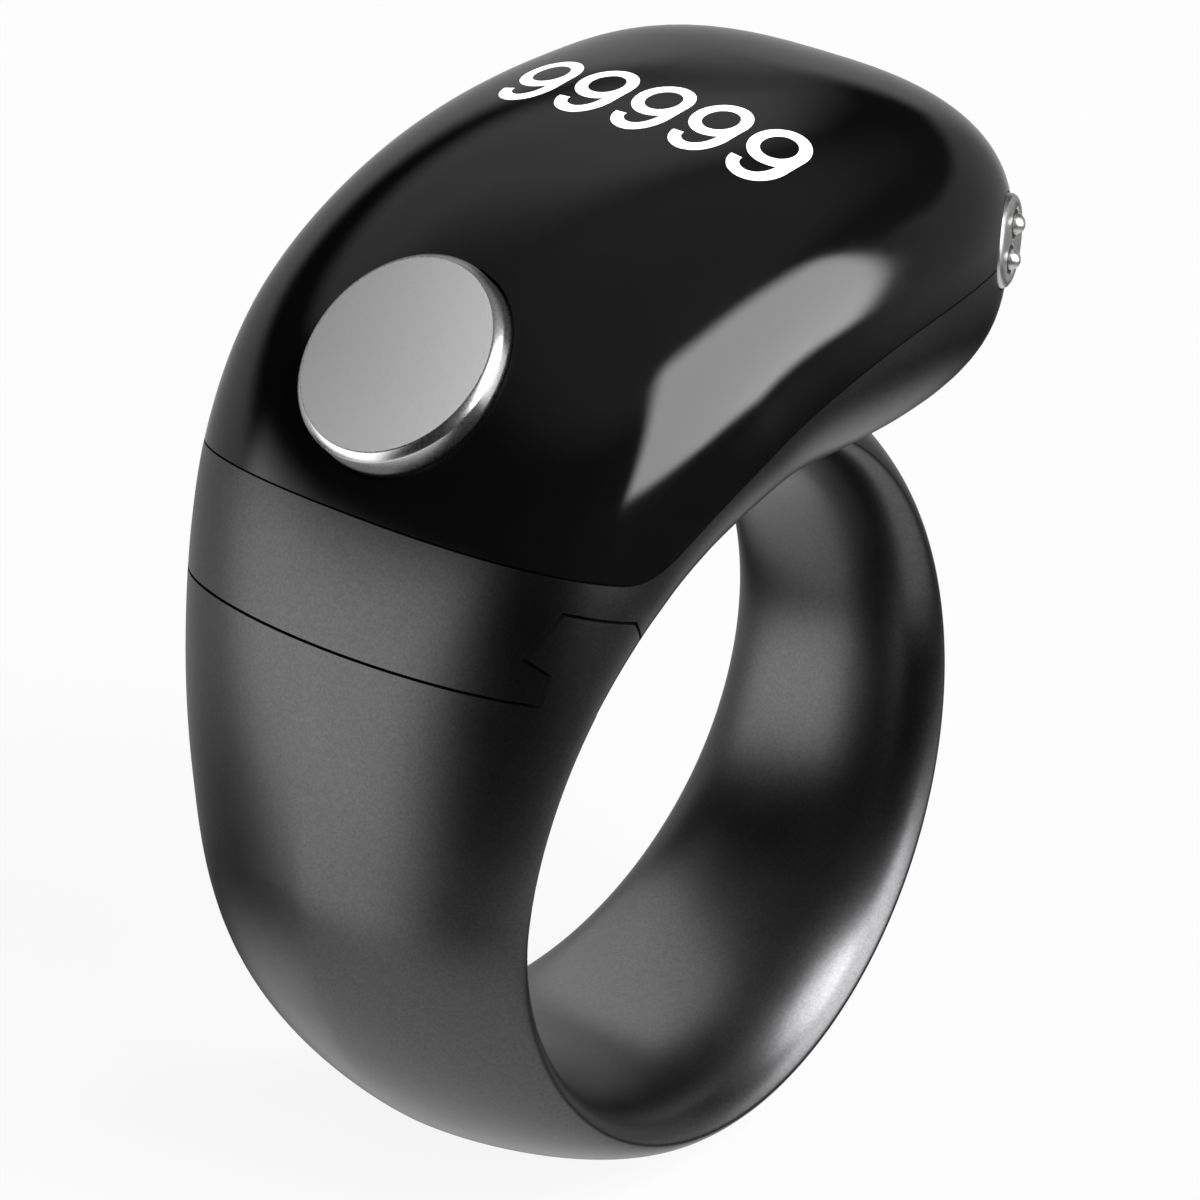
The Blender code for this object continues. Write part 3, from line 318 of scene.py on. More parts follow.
def head_section(angle, crown=0.0, side=0.0, floor=0.0):
    """A section of the head, set in from its surface by three wall thicknesses."""
    outer, inner = crown_point(angle), under_point(angle)
    up = (outer - inner).normalized()
    share = ease((math.pi - angle) / math.radians(50))
    crown_power = blend(1.63, 2.8, share)
    inner_power = blend(2.0, 3.0, share)
    edge = blend(EDGE_LEFT / BAND_LEFT, 0.49, share)
    half = head_half(angle) - side
    outer = outer - up * crown
    inner = inner + up * floor
    return lambda turn: section_place(turn, inner, outer, half, edge, crown_power, inner_power)


def head_angles(start, end, left, right):
    angles = [math.radians(blend(start, 90, k / left)) for k in range(left)]
    for k in range(right + 1):
        angles.append(math.radians(blend(90, end, math.sin(math.pi / 2 * k / right))))
    return angles


def head_form(walls=(0, 0, 0), start=168, end=1, left=70, right=60):
    return skin([head_section(angle, *walls) for angle in head_angles(start, end, left, right)])


def cavity():
    return head_form((CAP_WALL, SIDE_WALL, FLOOR_WALL), 147, 24, 30, 20)


def part_line(shift):
    """The line between cap and housing: from the left down to a rounded corner, then up to the nose."""
    low, high = Vector((-7.3, BORE + 0.45)), Vector((7.5, BORE + 5.15))

    def rise(x):
        return high.y if x > high.x else blend(high.y, low.y, ((high.x - x) / (high.x - low.x)) ** 2)

    start = low + Vector((-1, 0.275)).normalized() * 1.2
    end = Vector((low.x + 1.2, rise(low.x + 1.2)))
    line = [(-REACH, low.y + (low.x + REACH) * 0.275)]
    for k in range(17):
        share = k / 16
        point = start.lerp(low, share).lerp(low.lerp(end, share), share)
        line.append((point.x, point.y))
    line += [(x, rise(x)) for x in [blend(end.x, high.x, k / 48) for k in range(1, 49)]]
    line.append((REACH, high.y))
    return [(x, y + shift) for x, y in line]


def slab(outline, low=-REACH, high=REACH):
    """A bmesh of an (x, z) outline pushed along the finger."""
    form = bmesh.new()
    corners = [form.verts.new((x * MM, low * MM, z * MM)) for x, z in outline]
    face = form.faces.new(corners)
    moved = bmesh.ops.extrude_face_region(form, geom=[face])["geom"]
    raised = [item for item in moved if isinstance(item, bmesh.types.BMVert)]
    bmesh.ops.translate(form, verts=raised, vec=(0, (high - low) * MM, 0))
    bmesh.ops.recalc_face_normals(form, faces=form.faces)
    return form


def turned(profile, place, segments=96):
    """A bmesh of a (radius, height) profile spun about local Z, in millimetres, and then placed."""
    form = bmesh.new()
    line = [form.verts.new((radius * MM, 0, height * MM)) for radius, height in profile]
    edges = [form.edges.new(pair) for pair in zip(line, line[1:])]
    if profile[0][0] > 0:
        edges.append(form.edges.new((line[-1], line[0])))
    bmesh.ops.spin(
        form,
        geom=line + edges,
        axis=(0, 0, 1),
        cent=(0, 0, 0),
        angle=2 * math.pi,
        steps=segments,
        use_merge=True,
    )
    bmesh.ops.remove_doubles(form, verts=form.verts, dist=1e-7)
    bmesh.ops.recalc_face_normals(form, faces=form.faces)
    bmesh.ops.transform(form, matrix=place, verts=form.verts)
    return form


def carve(item, steps, surface=None):
    """Applies Booleans with bmeshes or objects, and takes the skin's normals from the uncut form."""
    helpers = []
    for operation, shape in steps:
        helper = shape if isinstance(shape, bpy.types.Object) else add_object("helper", shape)
        helpers.append(helper)
        modifier = item.modifiers.new("cut", "BOOLEAN")
        modifier.operation = operation
        modifier.solver = "MANIFOLD"
        modifier.object = helper
    if surface:
        helper = add_object("helper", surface)
        helpers.append(helper)
        modifier = item.modifiers.new("surface", "DATA_TRANSFER")
        modifier.object = helper
        modifier.use_loop_data = True
        modifier.data_types_loops = {"CUSTOM_NORMAL"}
        modifier.loop_mapping = "POLYINTERP_NEAREST"
        modifier.use_max_distance = True
        modifier.max_distance = 0.01 * MM
    bpy.context.view_layer.update()
    graph = bpy.context.evaluated_depsgraph_get()
    result = bpy.data.meshes.new_from_object(item.evaluated_get(graph), depsgraph=graph)
    item.modifiers.clear()
    item.data = result
    for helper in helpers:
        bpy.data.objects.remove(helper, do_unlink=True)
    return item


above_line = part_line(HALF_PART_GAP) + [(REACH, REACH), (-REACH, REACH)]
button_angle = math.radians(135.5)
button_crown = crown_point(button_angle)
button_place = Matrix.Translation((button_crown.x * MM, 0, button_crown.y * MM)) @ Matrix.Rotation(
    math.radians(-43.7), 4, "Y"
)
terminal_out = Vector((math.cos(math.radians(65)), -math.sin(math.radians(65)), 0))
terminal_along = Vector((-terminal_out.y, terminal_out.x, 0))
terminal_up = terminal_out.cross(terminal_along)
terminal_place = Matrix((terminal_along, terminal_up, terminal_out)).transposed().to_4x4()
terminal_place.translation = Vector((NOSE_X - 3.8, 1.25 - HALF_HEAD, BORE + 5.5)) * MM


def terminal_hole():
    """The hole for the terminal's disc, 0.05 mm larger than it all round."""
    return turned([(0, -2), (1.45, -2), (1.45, 3), (0, 3)], terminal_place, 64)


cap = add_object("glossy_cap", head_form())
carve(
    cap,
    [
        ("INTERSECT", slab(above_line)),
        ("DIFFERENCE", cavity()),
        ("DIFFERENCE", turned([(0, -1.15), (3.4, -1.15), (3.4, 6), (0, 6)], button_place)),
        ("DIFFERENCE", terminal_hole()),
    ],
    head_form(),
)

# Piano black: polished ABS/PC with no grain. It shows as clear, slightly wavy reflections on black.
piano_black, tree = new_material("polished_piano_black")
spot = add_node(tree, "ShaderNodeTexCoord").outputs["Object"]
waves = add_node(
    tree, "ShaderNodeTexNoise", inputs={"Scale": 1 / (3.5 * MM), "Detail": 2.0}, links={"Vector": spot}
)
dust = add_node(
    tree, "ShaderNodeTexNoise", inputs={"Scale": 1 / (0.6 * MM), "Detail": 6.0}, links={"Vector": spot}
)
depth = add_node(
    tree,
    "ShaderNodeMix",
    {"data_type": "RGBA"},
    {6: linear("#080809"), 7: linear("#0D0D0E")},
    {0: waves.outputs["Fac"]},
)
polish = add_node(
    tree,
    "ShaderNodeMapRange",
    inputs={"To Min": 0.07, "To Max": 0.12},
    links={"Value": dust.outputs["Fac"]},
)
ripple = add_node(
    tree,
    "ShaderNodeBump",
    inputs={"Strength": 0.15, "Distance": 0.004 * MM},
    links={"Height": waves.outputs["Fac"]},
)
shader = add_node(
    tree,
    "ShaderNodeBsdfPrincipled",
    inputs={"IOR": 1.5},
    links={"Base Color": depth.outputs[2], "Roughness": polish.outputs[0], "Normal": ripple.outputs[0]},
)
add_node(tree, "ShaderNodeOutputMaterial", links={"Surface": shader.outputs[0]})
give_material(cap, piano_black)
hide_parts("top_cap")
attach(cap, "head")

# Lit digits. Five nines, which the display throws on the smoked underside of the cap. Each is an oval
# bowl and a tail that sweeps from its right side round the foot, one stroke wide all along.

STROKE, BOWL_WIDE, BOWL_TALL, BOWL_UP = 0.38, 0.735, 0.775, 0.47
TAIL_UP, TAIL_TALL, HOOK_WIDE, HOOK_TALL = -0.3, 0.945, 0.59, 0.54
DIGIT_ROW_X, DIGIT_ROW_START, DIGIT_STEP = 1.6, 4.1, 2.18


def tail_line(share):
    """A point of the tail's middle line, from the bowl's right side (0) to the cut end (1)."""
    if share < 0.2:
        return Vector((BOWL_WIDE, blend(BOWL_UP, TAIL_UP, share / 0.2)))
    turn = math.pi / 2 * (share - 0.2) / 0.4
    if turn <= math.pi / 2:
        return Vector((BOWL_WIDE * math.cos(turn), TAIL_UP - TAIL_TALL * math.sin(turn)))
    middle = TAIL_UP - TAIL_TALL + HOOK_TALL
    return Vector((HOOK_WIDE * math.cos(turn), middle - HOOK_TALL * math.sin(turn)))


def nine():
    """The bowl and the tail of one digit as two closed flat bmeshes, in millimetres, text right along X."""
    bowl = bmesh.new()
    rings = []
    for side in (-1, 1):
        ring = bmesh.ops.create_circle(bowl, radius=1.0, segments=64)["verts"]
        wide, tall = BOWL_WIDE + side * STROKE / 2, BOWL_TALL + side * STROKE / 2
        bmesh.ops.scale(bowl, vec=(wide, tall, 1), verts=ring)
        bmesh.ops.translate(bowl, vec=(0, BOWL_UP, 0), verts=ring)
        rings += {edge for vert in ring for edge in vert.link_edges}
    bmesh.ops.bridge_loops(bowl, edges=rings)
    tail = bmesh.new()
    top = [tail.verts.new((BOWL_WIDE + side * STROKE / 2, BOWL_UP, 0)) for side in (-1, 1)]
    edge = tail.edges.new(top)
    steps = 48
    for k in range(1, steps + 1):
        here = tail_line(k / steps)
        along = (here - tail_line((k - 1) / steps)).normalized()
        side = Vector((-along.y, along.x)) * STROKE / 2
        moved = bmesh.ops.extrude_edge_only(tail, edges=[edge])["geom"]
        ends = [item for item in moved if isinstance(item, bmesh.types.BMVert)]
        edge = next(item for item in moved if isinstance(item, bmesh.types.BMEdge))
        for end, flip in zip(sorted(ends, key=lambda v: (v.co.xy - here).dot(side)), (-1, 1)):
            end.co = (here.x + flip * side.x, here.y + flip * side.y, 0)
    for form in (bowl, tail):
        bmesh.ops.recalc_face_normals(form, faces=form.faces)
        raised = bmesh.ops.extrude_face_region(form, geom=list(form.faces))["geom"]
        upper = [item for item in raised if isinstance(item, bmesh.types.BMVert)]
        bmesh.ops.translate(form, vec=(0, 0, 1), verts=upper)
        bmesh.ops.recalc_face_normals(form, faces=form.faces)
    return bowl, tail


lit_white, tree = new_material("lit_display_white")
spot = add_node(tree, "ShaderNodeTexCoord").outputs["Object"]
cells = add_node(tree, "ShaderNodeTexNoise", inputs={"Scale": 1 / (0.25 * MM)}, links={"Vector": spot})
glow = add_node(
    tree,
    "ShaderNodeMix",
    {"data_type": "RGBA"},
    {6: linear("#F6F9FA"), 7: linear("#FFFFFF")},
    {0: cells.outputs["Fac"]},
)
shader = add_node(
    tree,
    "ShaderNodeBsdfPrincipled",
    inputs={"Roughness": 0.3, "IOR": 1.5, "Emission Strength": 0.9},
    links={"Base Color": glow.outputs[2], "Emission Color": glow.outputs[2]},
)
add_node(tree, "ShaderNodeOutputMaterial", links={"Surface": shader.outputs[0]})
cap_surface = BVHTree.FromObject(cap, bpy.context.evaluated_depsgraph_get())
for number in range(5):
    bowl, tail = nine()
    digit = add_object(f"digit_{number + 1}", bowl)
    carve(digit, [("UNION", tail)])
    for vert in digit.data.vertices:
        x = (DIGIT_ROW_X + vert.co.y) * MM
        y = (DIGIT_ROW_START - number * DIGIT_STEP - vert.co.x) * MM
        surface = cap_surface.ray_cast(Vector((x, y, 30 * MM)), Vector((0, 0, -1)))[0]
        vert.co = (x, y, surface.z + (0.006 if vert.co.z > 0.5 else -0.05) * MM)
    give_material(digit, lit_white)
    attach(digit, "head")

# Housing. A zinc casting under the cap, coated satin dark grey. Its left end holds the slot for the
# band's tongue, and a foot on its right end reaches down to the bore.


def near_bore(angle, along, above):
    """An (x, z) point above the bore at an angle, moved along the tangent towards the head's top."""
    ray = Vector((math.cos(angle), math.sin(angle)))
    tangent = Vector((-ray.y, ray.x)) * (1 if angle < math.pi / 2 else -1)
    return tuple(ray * (BORE + above) + tangent * along)


def grown(outline, distance):
    """An (x, z) outline with each side moved outwards by a distance."""
    points = [Vector(point) for point in outline]
    turns = sum(a.x * b.y - b.x * a.y for a, b in zip(points, points[1:] + points[:1]))
    side = math.copysign(1, turns)
    moved = []
    for k, here in enumerate(points):
        before = (here - points[k - 1]).normalized()
        after = (points[(k + 1) % len(points)] - here).normalized()
        out_before = Vector((before.y, -before.x)) * side
        out_after = Vector((after.y, -after.x)) * side
        moved.append(tuple(here + (out_before + out_after) / (1 + out_before.dot(out_after)) * distance))
    return moved


TONGUE_TURN, FOOT_TURN, BAND_GAP = math.radians(146.6), math.radians(57), 0.09


def band_room(gap):
    """The room that the band takes up in the head: the band, its tongue and its foot tongue."""
    foot = near_bore(TONGUE_TURN, 0, 3.11)
    root = near_bore(TONGUE_TURN, 2.98, 1.76)
    shelf = BORE + 0.15
    main = [
        (-REACH, -REACH),
        (-REACH, foot[1] + (foot[0] + REACH) * 0.21),
        foot,
        root,
        near_bore(TONGUE_TURN, 1.9, -0.5),
        near_bore(FOOT_TURN, 0, -0.5),
        near_bore(FOOT_TURN, 0, shelf / math.sin(FOOT_TURN) - BORE),
        (REACH, shelf),
        (REACH, -REACH),
    ]
    tongue = [
        near_bore(TONGUE_TURN, 0.2, 1.76),
        foot,
        near_bore(TONGUE_TURN, 0.95, 3.42),
        near_bore(TONGUE_TURN, 1.1, 3.96),
        near_bore(TONGUE_TURN, 2.6, 3.96),
        near_bore(TONGUE_TURN, 3.1, 2.01),
        root,
    ]
    hook = [
        near_bore(FOOT_TURN, -0.42, 1.0),
        near_bore(FOOT_TURN, 0.85, 0.9),
        near_bore(FOOT_TURN, 0.85, 1.7),
        near_bore(FOOT_TURN, -0.42, 1.6),
    ]
    hook_end = band_measures(FOOT_TURN)[1] - 1.3
    ends = ((main, REACH), (tongue, HALF_JOINT - 2.2 + gap), (hook, hook_end + gap))
    return [slab(grown(outline, gap), -REACH, end) for outline, end in ends]


def band_section(turn):
    """A section of the band at a turn round the finger."""
    wall, half, edge = band_measures(turn)
    ray = Vector((math.cos(turn), math.sin(turn)))
    return lambda t: section_place(t, ray * BORE, ray * (BORE + wall), half, edge, 1.63, 2.0)


def band_form(start, end, steps, rise=0):
    sections = [band_section(math.radians(blend(start, end, k / steps))) for k in range(steps + 1)]
    for k in range(1, rise + 1):
        sections.append(head_section(math.radians(blend(180, 148, k / rise))))
    return skin(sections)


below_line = part_line(-HALF_PART_GAP) + [(REACH, -REACH), (-REACH, -REACH)]
housing = add_object("head_shell", head_form())
carve(
    housing,
    [
        ("UNION", band_form(54, 86, 16)),
        ("INTERSECT", slab(below_line)),
        ("DIFFERENCE", cavity()),
    ]
    + [("DIFFERENCE", room) for room in band_room(BAND_GAP)]
    + [("DIFFERENCE", terminal_hole())],
    head_form(),
)
# Sprayed metallic coat: aluminium flakes of about 0.05 mm in a dark satin lacquer. It shows soft, wide
# highlights with a fine sparkle in them, and a faint unevenness where the spray lies thicker.
gunmetal, tree = new_material("satin_gunmetal_coat")
spot = add_node(tree, "ShaderNodeTexCoord").outputs["Object"]
flakes = add_node(tree, "ShaderNodeTexVoronoi", inputs={"Scale": 1 / (0.06 * MM)}, links={"Vector": spot})
cloud = add_node(
    tree, "ShaderNodeTexNoise", inputs={"Scale": 1 / (2.5 * MM), "Detail": 5.0}, links={"Vector": spot}
)
flake_tone = add_node(tree, "ShaderNodeSeparateColor", links={0: flakes.outputs["Color"]})
coat = add_node(
    tree,
    "ShaderNodeMix",
    {"data_type": "RGBA"},
    {6: linear("#525253"), 7: linear("#5B5B5C")},
    {0: flake_tone.outputs[0]},
)
satin = add_node(
    tree,
    "ShaderNodeMapRange",
    inputs={"To Min": 0.27, "To Max": 0.35},
    links={"Value": cloud.outputs["Fac"]},
)
orange_peel = add_node(
    tree,
    "ShaderNodeBump",
    inputs={"Strength": 0.12, "Distance": 0.003 * MM},
    links={"Height": flake_tone.outputs[1]},
)
shader = add_node(
    tree,
    "ShaderNodeBsdfPrincipled",
    inputs={"Metallic": 1.0},
    links={"Base Color": coat.outputs[2], "Roughness": satin.outputs[0], "Normal": orange_peel.outputs[0]},
)
add_node(tree, "ShaderNodeOutputMaterial", links={"Surface": shader.outputs[0]})
# The coat is sprayed on the closed shape's outside. The cut walls inside the joints, and in the nail notch,
# are painted near-black as painted shade, for the shade that falls in them.
joint_painted_shade, tree = new_material("joint_painted_shade_black")
spot = add_node(tree, "ShaderNodeTexCoord").outputs["Object"]
shade_speckle = add_node(
    tree, "ShaderNodeTexNoise", inputs={"Scale": 1 / (0.12 * MM), "Detail": 4.0}, links={"Vector": spot}
)
# Painted shade: a near-black colour for the walls in the joints and the notch.
painted_shade_black = add_node(
    tree,
    "ShaderNodeMix",
    {"data_type": "RGBA"},
    {6: linear("#050505"), 7: linear("#0C0C0C")},
    {0: shade_speckle.outputs["Fac"]},
)
chalk = add_node(
    tree,
    "ShaderNodeBump",
    inputs={"Strength": 0.3, "Distance": 0.006 * MM},
    links={"Height": shade_speckle.outputs["Fac"]},
)
shader = add_node(
    tree,
    "ShaderNodeBsdfPrincipled",
    inputs={"Roughness": 0.9, "Specular IOR Level": 0.04},
    links={"Base Color": painted_shade_black.outputs[2], "Normal": chalk.outputs[0]},
)
add_node(tree, "ShaderNodeOutputMaterial", links={"Surface": shader.outputs[0]})


def coat_with(item, coating, shade_finish, uncut):
    """Gives a casting its coating on the skin of its uncut form, and the near-black painted shade on the
    cut walls.
    """
    skin_tree = BVHTree.FromBMesh(uncut)
    uncut.free()
    give_material(item, coating, shade_finish)
    # Faces off the uncut skin, the walls in joints and notches, take the painted shade.
    for face in item.data.polygons:
        distance = skin_tree.find_nearest(face.center)[3]
        face.material_index = 1 if distance > 0.02 * MM else 0


# The walls of the tongue's slot and the foot's slot get the near-black painted shade.
coat_with(housing, gunmetal, joint_painted_shade, head_form())
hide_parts("head_housing")
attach(housing, "head")

# Band. The same casting and coat as the housing, in one arc: a hooked tongue on the left slides into
# the housing from the side, a small one on the right hooks under it, and a notch takes a nail.

band = add_object("band_arc", band_form(65, -180, 150, 24))
rooms = band_room(0.0)
room = add_object("room", rooms[0])
carve(room, [("UNION", rooms[1]), ("UNION", rooms[2])])
NOTCH_RISE, NOTCH_LENGTH, NOTCH_DEPTH, NOTCH_ROUNDING = 1.45, 1.3, 1.2, 0.35
notch_start = TONGUE_TURN - 1.68 / (BORE + NOTCH_RISE)
notch_end = notch_start + NOTCH_LENGTH / (BORE + NOTCH_RISE)
notch_turn, notch_side = 0.037, NOTCH_RISE - NOTCH_ROUNDING
notch = [near_bore(notch_start, 0, -1), near_bore(notch_start, 0, notch_side)]
for t in (0.4, 0.8, 1.2):
    place = (notch_start + notch_turn * (1 - math.cos(t)), 0, notch_side + NOTCH_ROUNDING * math.sin(t))
    notch.append(near_bore(*place))
notch += [near_bore(notch_start + notch_turn, 0, NOTCH_RISE), near_bore(notch_end, 0, NOTCH_RISE)]
notch.append(near_bore(notch_end, 0, -1))
carve(
    band,
    [("INTERSECT", room), ("DIFFERENCE", slab(notch, -REACH, NOTCH_DEPTH - HALF_JOINT))],
    band_form(65, -180, 150, 24),
)
# The tongue's cut walls, the joint faces and the notch's walls get the near-black painted shade.
coat_with(band, gunmetal, joint_painted_shade, band_form(65, -180, 150, 24))
# Two lamps light the band alone, for the broad glow and the long streak on its inside.
LAMP_AWAY = 0.3
band_only = bpy.data.collections.new("band_lamp_targets")
band_only.objects.link(band)
lamps = [(60, 38, 0.30, 0.26), (-80, 62, 0.20, 0.85)]
for number, (azimuth, elevation, wide, watts) in enumerate(lamps, 1):
    lamp_data = bpy.data.lights.new(f"band_lamp_{number}", "AREA")
    lamp_data.shape = "DISK"
    lamp_data.size = wide
    lamp_data.energy = watts
    lamp = bpy.data.objects.new(f"band_lamp_{number}", lamp_data)
    bpy.context.scene.collection.objects.link(lamp)
    away = towards(azimuth, elevation)
    aimed = away.to_track_quat("Z", "Y").to_matrix().to_4x4()
    lamp.matrix_world = Matrix.Translation(away * LAMP_AWAY) @ aimed
    lamp.visible_camera = False
    lamp.light_linking.receiver_collection = band_only
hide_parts("band")
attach(band, "band")

# Count button. A turned aluminium disc, bead blasted on top, with a bright cut rim. Its stem goes
# down through the cap to a dome switch.

button = add_object(
    "button_disc",
    turned(
        [
            (0, -3.0), (1.02, -3.0), (1.1, -2.92), (1.1, -0.7), (3.22, -0.7), (3.3, -0.62), (3.3, 0.26),
            (3.28, 0.31), (3.12, 0.47), (3.06, 0.5), (0, 0.5),
        ],
        button_place,
        128,
    ),
)
# Bead blasting leaves an even, grainy grey with no mirror image. The rim is cut after it and is bright.
blasted, tree = new_material("bead_blasted_aluminium")
spot = add_node(tree, "ShaderNodeTexCoord").outputs["Object"]
pits = add_node(
    tree, "ShaderNodeTexNoise", inputs={"Scale": 1 / (0.06 * MM), "Detail": 3.0}, links={"Vector": spot}
)
handling = add_node(
    tree, "ShaderNodeTexNoise", inputs={"Scale": 1 / (1.8 * MM), "Detail": 4.0}, links={"Vector": spot}
)
metal = add_node(
    tree,
    "ShaderNodeMix",
    {"data_type": "RGBA"},
    {6: linear("#C6C6C6"), 7: linear("#D4D4D4")},
    {0: pits.outputs["Fac"]},
)
matt = add_node(
    tree,
    "ShaderNodeMapRange",
    inputs={"To Min": 0.62, "To Max": 0.72},
    links={"Value": handling.outputs["Fac"]},
)
grit = add_node(
    tree,
    "ShaderNodeBump",
    inputs={"Strength": 0.2, "Distance": 0.004 * MM},
    links={"Height": pits.outputs["Fac"]},
)
shader = add_node(
    tree,
    "ShaderNodeBsdfPrincipled",
    inputs={"Metallic": 0.35},
    links={"Base Color": metal.outputs[2], "Roughness": matt.outputs[0], "Normal": grit.outputs[0]},
)
add_node(tree, "ShaderNodeOutputMaterial", links={"Surface": shader.outputs[0]})
cut_rim, tree = new_material("turned_aluminium_rim")
spot = add_node(tree, "ShaderNodeTexCoord").outputs["Object"]
lines = add_node(
    tree, "ShaderNodeTexNoise", inputs={"Scale": 1 / (0.1 * MM), "Detail": 2.0}, links={"Vector": spot}
)
bright = add_node(
    tree,
    "ShaderNodeMix",
    {"data_type": "RGBA"},
    {6: linear("#CFCFD0"), 7: linear("#E0E0E0")},
    {0: lines.outputs["Fac"]},
)
tool = add_node(
    tree,
    "ShaderNodeMapRange",
    inputs={"To Min": 0.24, "To Max": 0.32},
    links={"Value": lines.outputs["Fac"]},
)
shader = add_node(
    tree,
    "ShaderNodeBsdfPrincipled",
    inputs={"Metallic": 1.0},
    links={"Base Color": bright.outputs[2], "Roughness": tool.outputs[0]},
)
add_node(tree, "ShaderNodeOutputMaterial", links={"Surface": shader.outputs[0]})
give_material(button, blasted, cut_rim)
button_up = button_place.to_3x3() @ Vector((0, 0, 1))
for face in button.data.polygons:
    face.material_index = 0 if face.normal.dot(button_up) > 0.98 else 1
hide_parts("count_button")
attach(button, "button")

# Charging terminal. A plated disc sunk in the nose, with two domed pins in thin black sleeves. A
# magnet behind it pulls the charging lead on.

pin_row, PIN_OFF = math.radians(63), 0.525 * MM
pin_step = Vector((PIN_OFF * math.cos(pin_row), PIN_OFF * math.sin(pin_row), 0))
pin_spots = [terminal_place @ Matrix.Translation(side * pin_step) for side in (-1, 1)]
disc_line = [(0, -0.8), (1.4, -0.8), (1.4, -0.16), (1.36, -0.07), (1.27, -0.01), (1.2, 0), (0, 0)]
disc = add_object("terminal_disc", turned(disc_line, terminal_place))
holes = [turned([(0, -2), (0.46, -2), (0.46, 1), (0, 1)], spot, 48) for spot in pin_spots]
carve(disc, [("DIFFERENCE", hole) for hole in holes])
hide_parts("charging_disc")
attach(disc, "head")
sleeves, pins = [], []
for number, spot in enumerate(pin_spots, 1):
    ring = turned([(0.35, -0.8), (0.43, -0.8), (0.43, 0), (0.35, 0)], spot, 48)
    sleeves.append(add_object(f"sleeve_{number}", ring))
    dome = [(0.32 * math.cos(t), 0.3 * math.sin(t)) for t in [math.pi / 2 * k / 10 for k in range(10)]]
    rod = turned([(0, -1.2), (0.32, -1.2)] + dome + [(0, 0.3)], spot, 48)
    pins.append(add_object(f"pin_{number}", rod))
    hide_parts(f"pin_sleeve_{number}")
    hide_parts(f"charging_pin_{number}")
    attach(sleeves[-1], "head")
    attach(pins[-1], "head")


def dress(finish, *names):
    """Gives CAD nodes that stay as they are a finish."""
    for name in names:
        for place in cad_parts[name].material_slots:
            place.material = finish


# Nickel plating: a metal mirror broken up by fine polishing marks, duller in places.
nickel, tree = new_material("polished_nickel_plate")
spot = add_node(tree, "ShaderNodeTexCoord").outputs["Object"]
marks = add_node(
    tree, "ShaderNodeTexNoise", inputs={"Scale": 1 / (0.15 * MM), "Detail": 5.0}, links={"Vector": spot}
)
plate = add_node(
    tree,
    "ShaderNodeMix",
    {"data_type": "RGBA"},
    {6: linear("#C2C2C1"), 7: linear("#D2D2D1")},
    {0: marks.outputs["Fac"]},
)
gleam = add_node(
    tree,
    "ShaderNodeMapRange",
    inputs={"To Min": 0.3, "To Max": 0.42},
    links={"Value": marks.outputs["Fac"]},
)
shader = add_node(
    tree,
    "ShaderNodeBsdfPrincipled",
    inputs={"Metallic": 1.0},
    links={"Base Color": plate.outputs[2], "Roughness": gleam.outputs[0]},
)
add_node(tree, "ShaderNodeOutputMaterial", links={"Surface": shader.outputs[0]})
for piece in [disc] + pins:
    give_material(piece, nickel)

# Black glass-filled nylon: a dry moulded black with pale specks where glass fibres reach the surface.
nylon, tree = new_material("black_glass_filled_nylon")
spot = add_node(tree, "ShaderNodeTexCoord").outputs["Object"]
fibres = add_node(tree, "ShaderNodeTexVoronoi", inputs={"Scale": 1 / (0.14 * MM)}, links={"Vector": spot})
ends = add_node(
    tree,
    "ShaderNodeMapRange",
    inputs={"From Min": 0.04, "From Max": 0.2},
    links={"Value": fibres.outputs["Distance"]},
)
black = add_node(
    tree,
    "ShaderNodeMix",
    {"data_type": "RGBA"},
    {6: linear("#3A3A3B"), 7: linear("#19191A")},
    {0: ends.outputs[0]},
)
dry = add_node(
    tree, "ShaderNodeMapRange", inputs={"To Min": 0.45, "To Max": 0.6}, links={"Value": ends.outputs[0]}
)
shader = add_node(
    tree,
    "ShaderNodeBsdfPrincipled",
    inputs={"IOR": 1.53},
    links={"Base Color": black.outputs[2], "Roughness": dry.outputs[0]},
)
add_node(tree, "ShaderNodeOutputMaterial", links={"Surface": shader.outputs[0]})
for piece in sleeves:
    give_material(piece, nylon)

# Charging magnet. A sintered disc behind the terminal, nickel plated against rust.
magnet_plate, tree = new_material("nickel_plated_magnet")
spot = add_node(tree, "ShaderNodeTexCoord").outputs["Object"]
tumbled = add_node(
    tree, "ShaderNodeTexNoise", inputs={"Scale": 1 / (0.3 * MM), "Detail": 6.0}, links={"Vector": spot}
)
plate = add_node(
    tree,
    "ShaderNodeMix",
    {"data_type": "RGBA"},
    {6: linear("#9C9890"), 7: linear("#B5B1A8")},
    {0: tumbled.outputs["Fac"]},
)
gleam = add_node(
    tree,
    "ShaderNodeMapRange",
    inputs={"To Min": 0.18, "To Max": 0.4},
    links={"Value": tumbled.outputs["Fac"]},
)
shader = add_node(
    tree,
    "ShaderNodeBsdfPrincipled",
    inputs={"Metallic": 1.0},
    links={"Base Color": plate.outputs[2], "Roughness": gleam.outputs[0]},
)
add_node(tree, "ShaderNodeOutputMaterial", links={"Surface": shader.outputs[0]})
dress(magnet_plate, "charging_magnet")

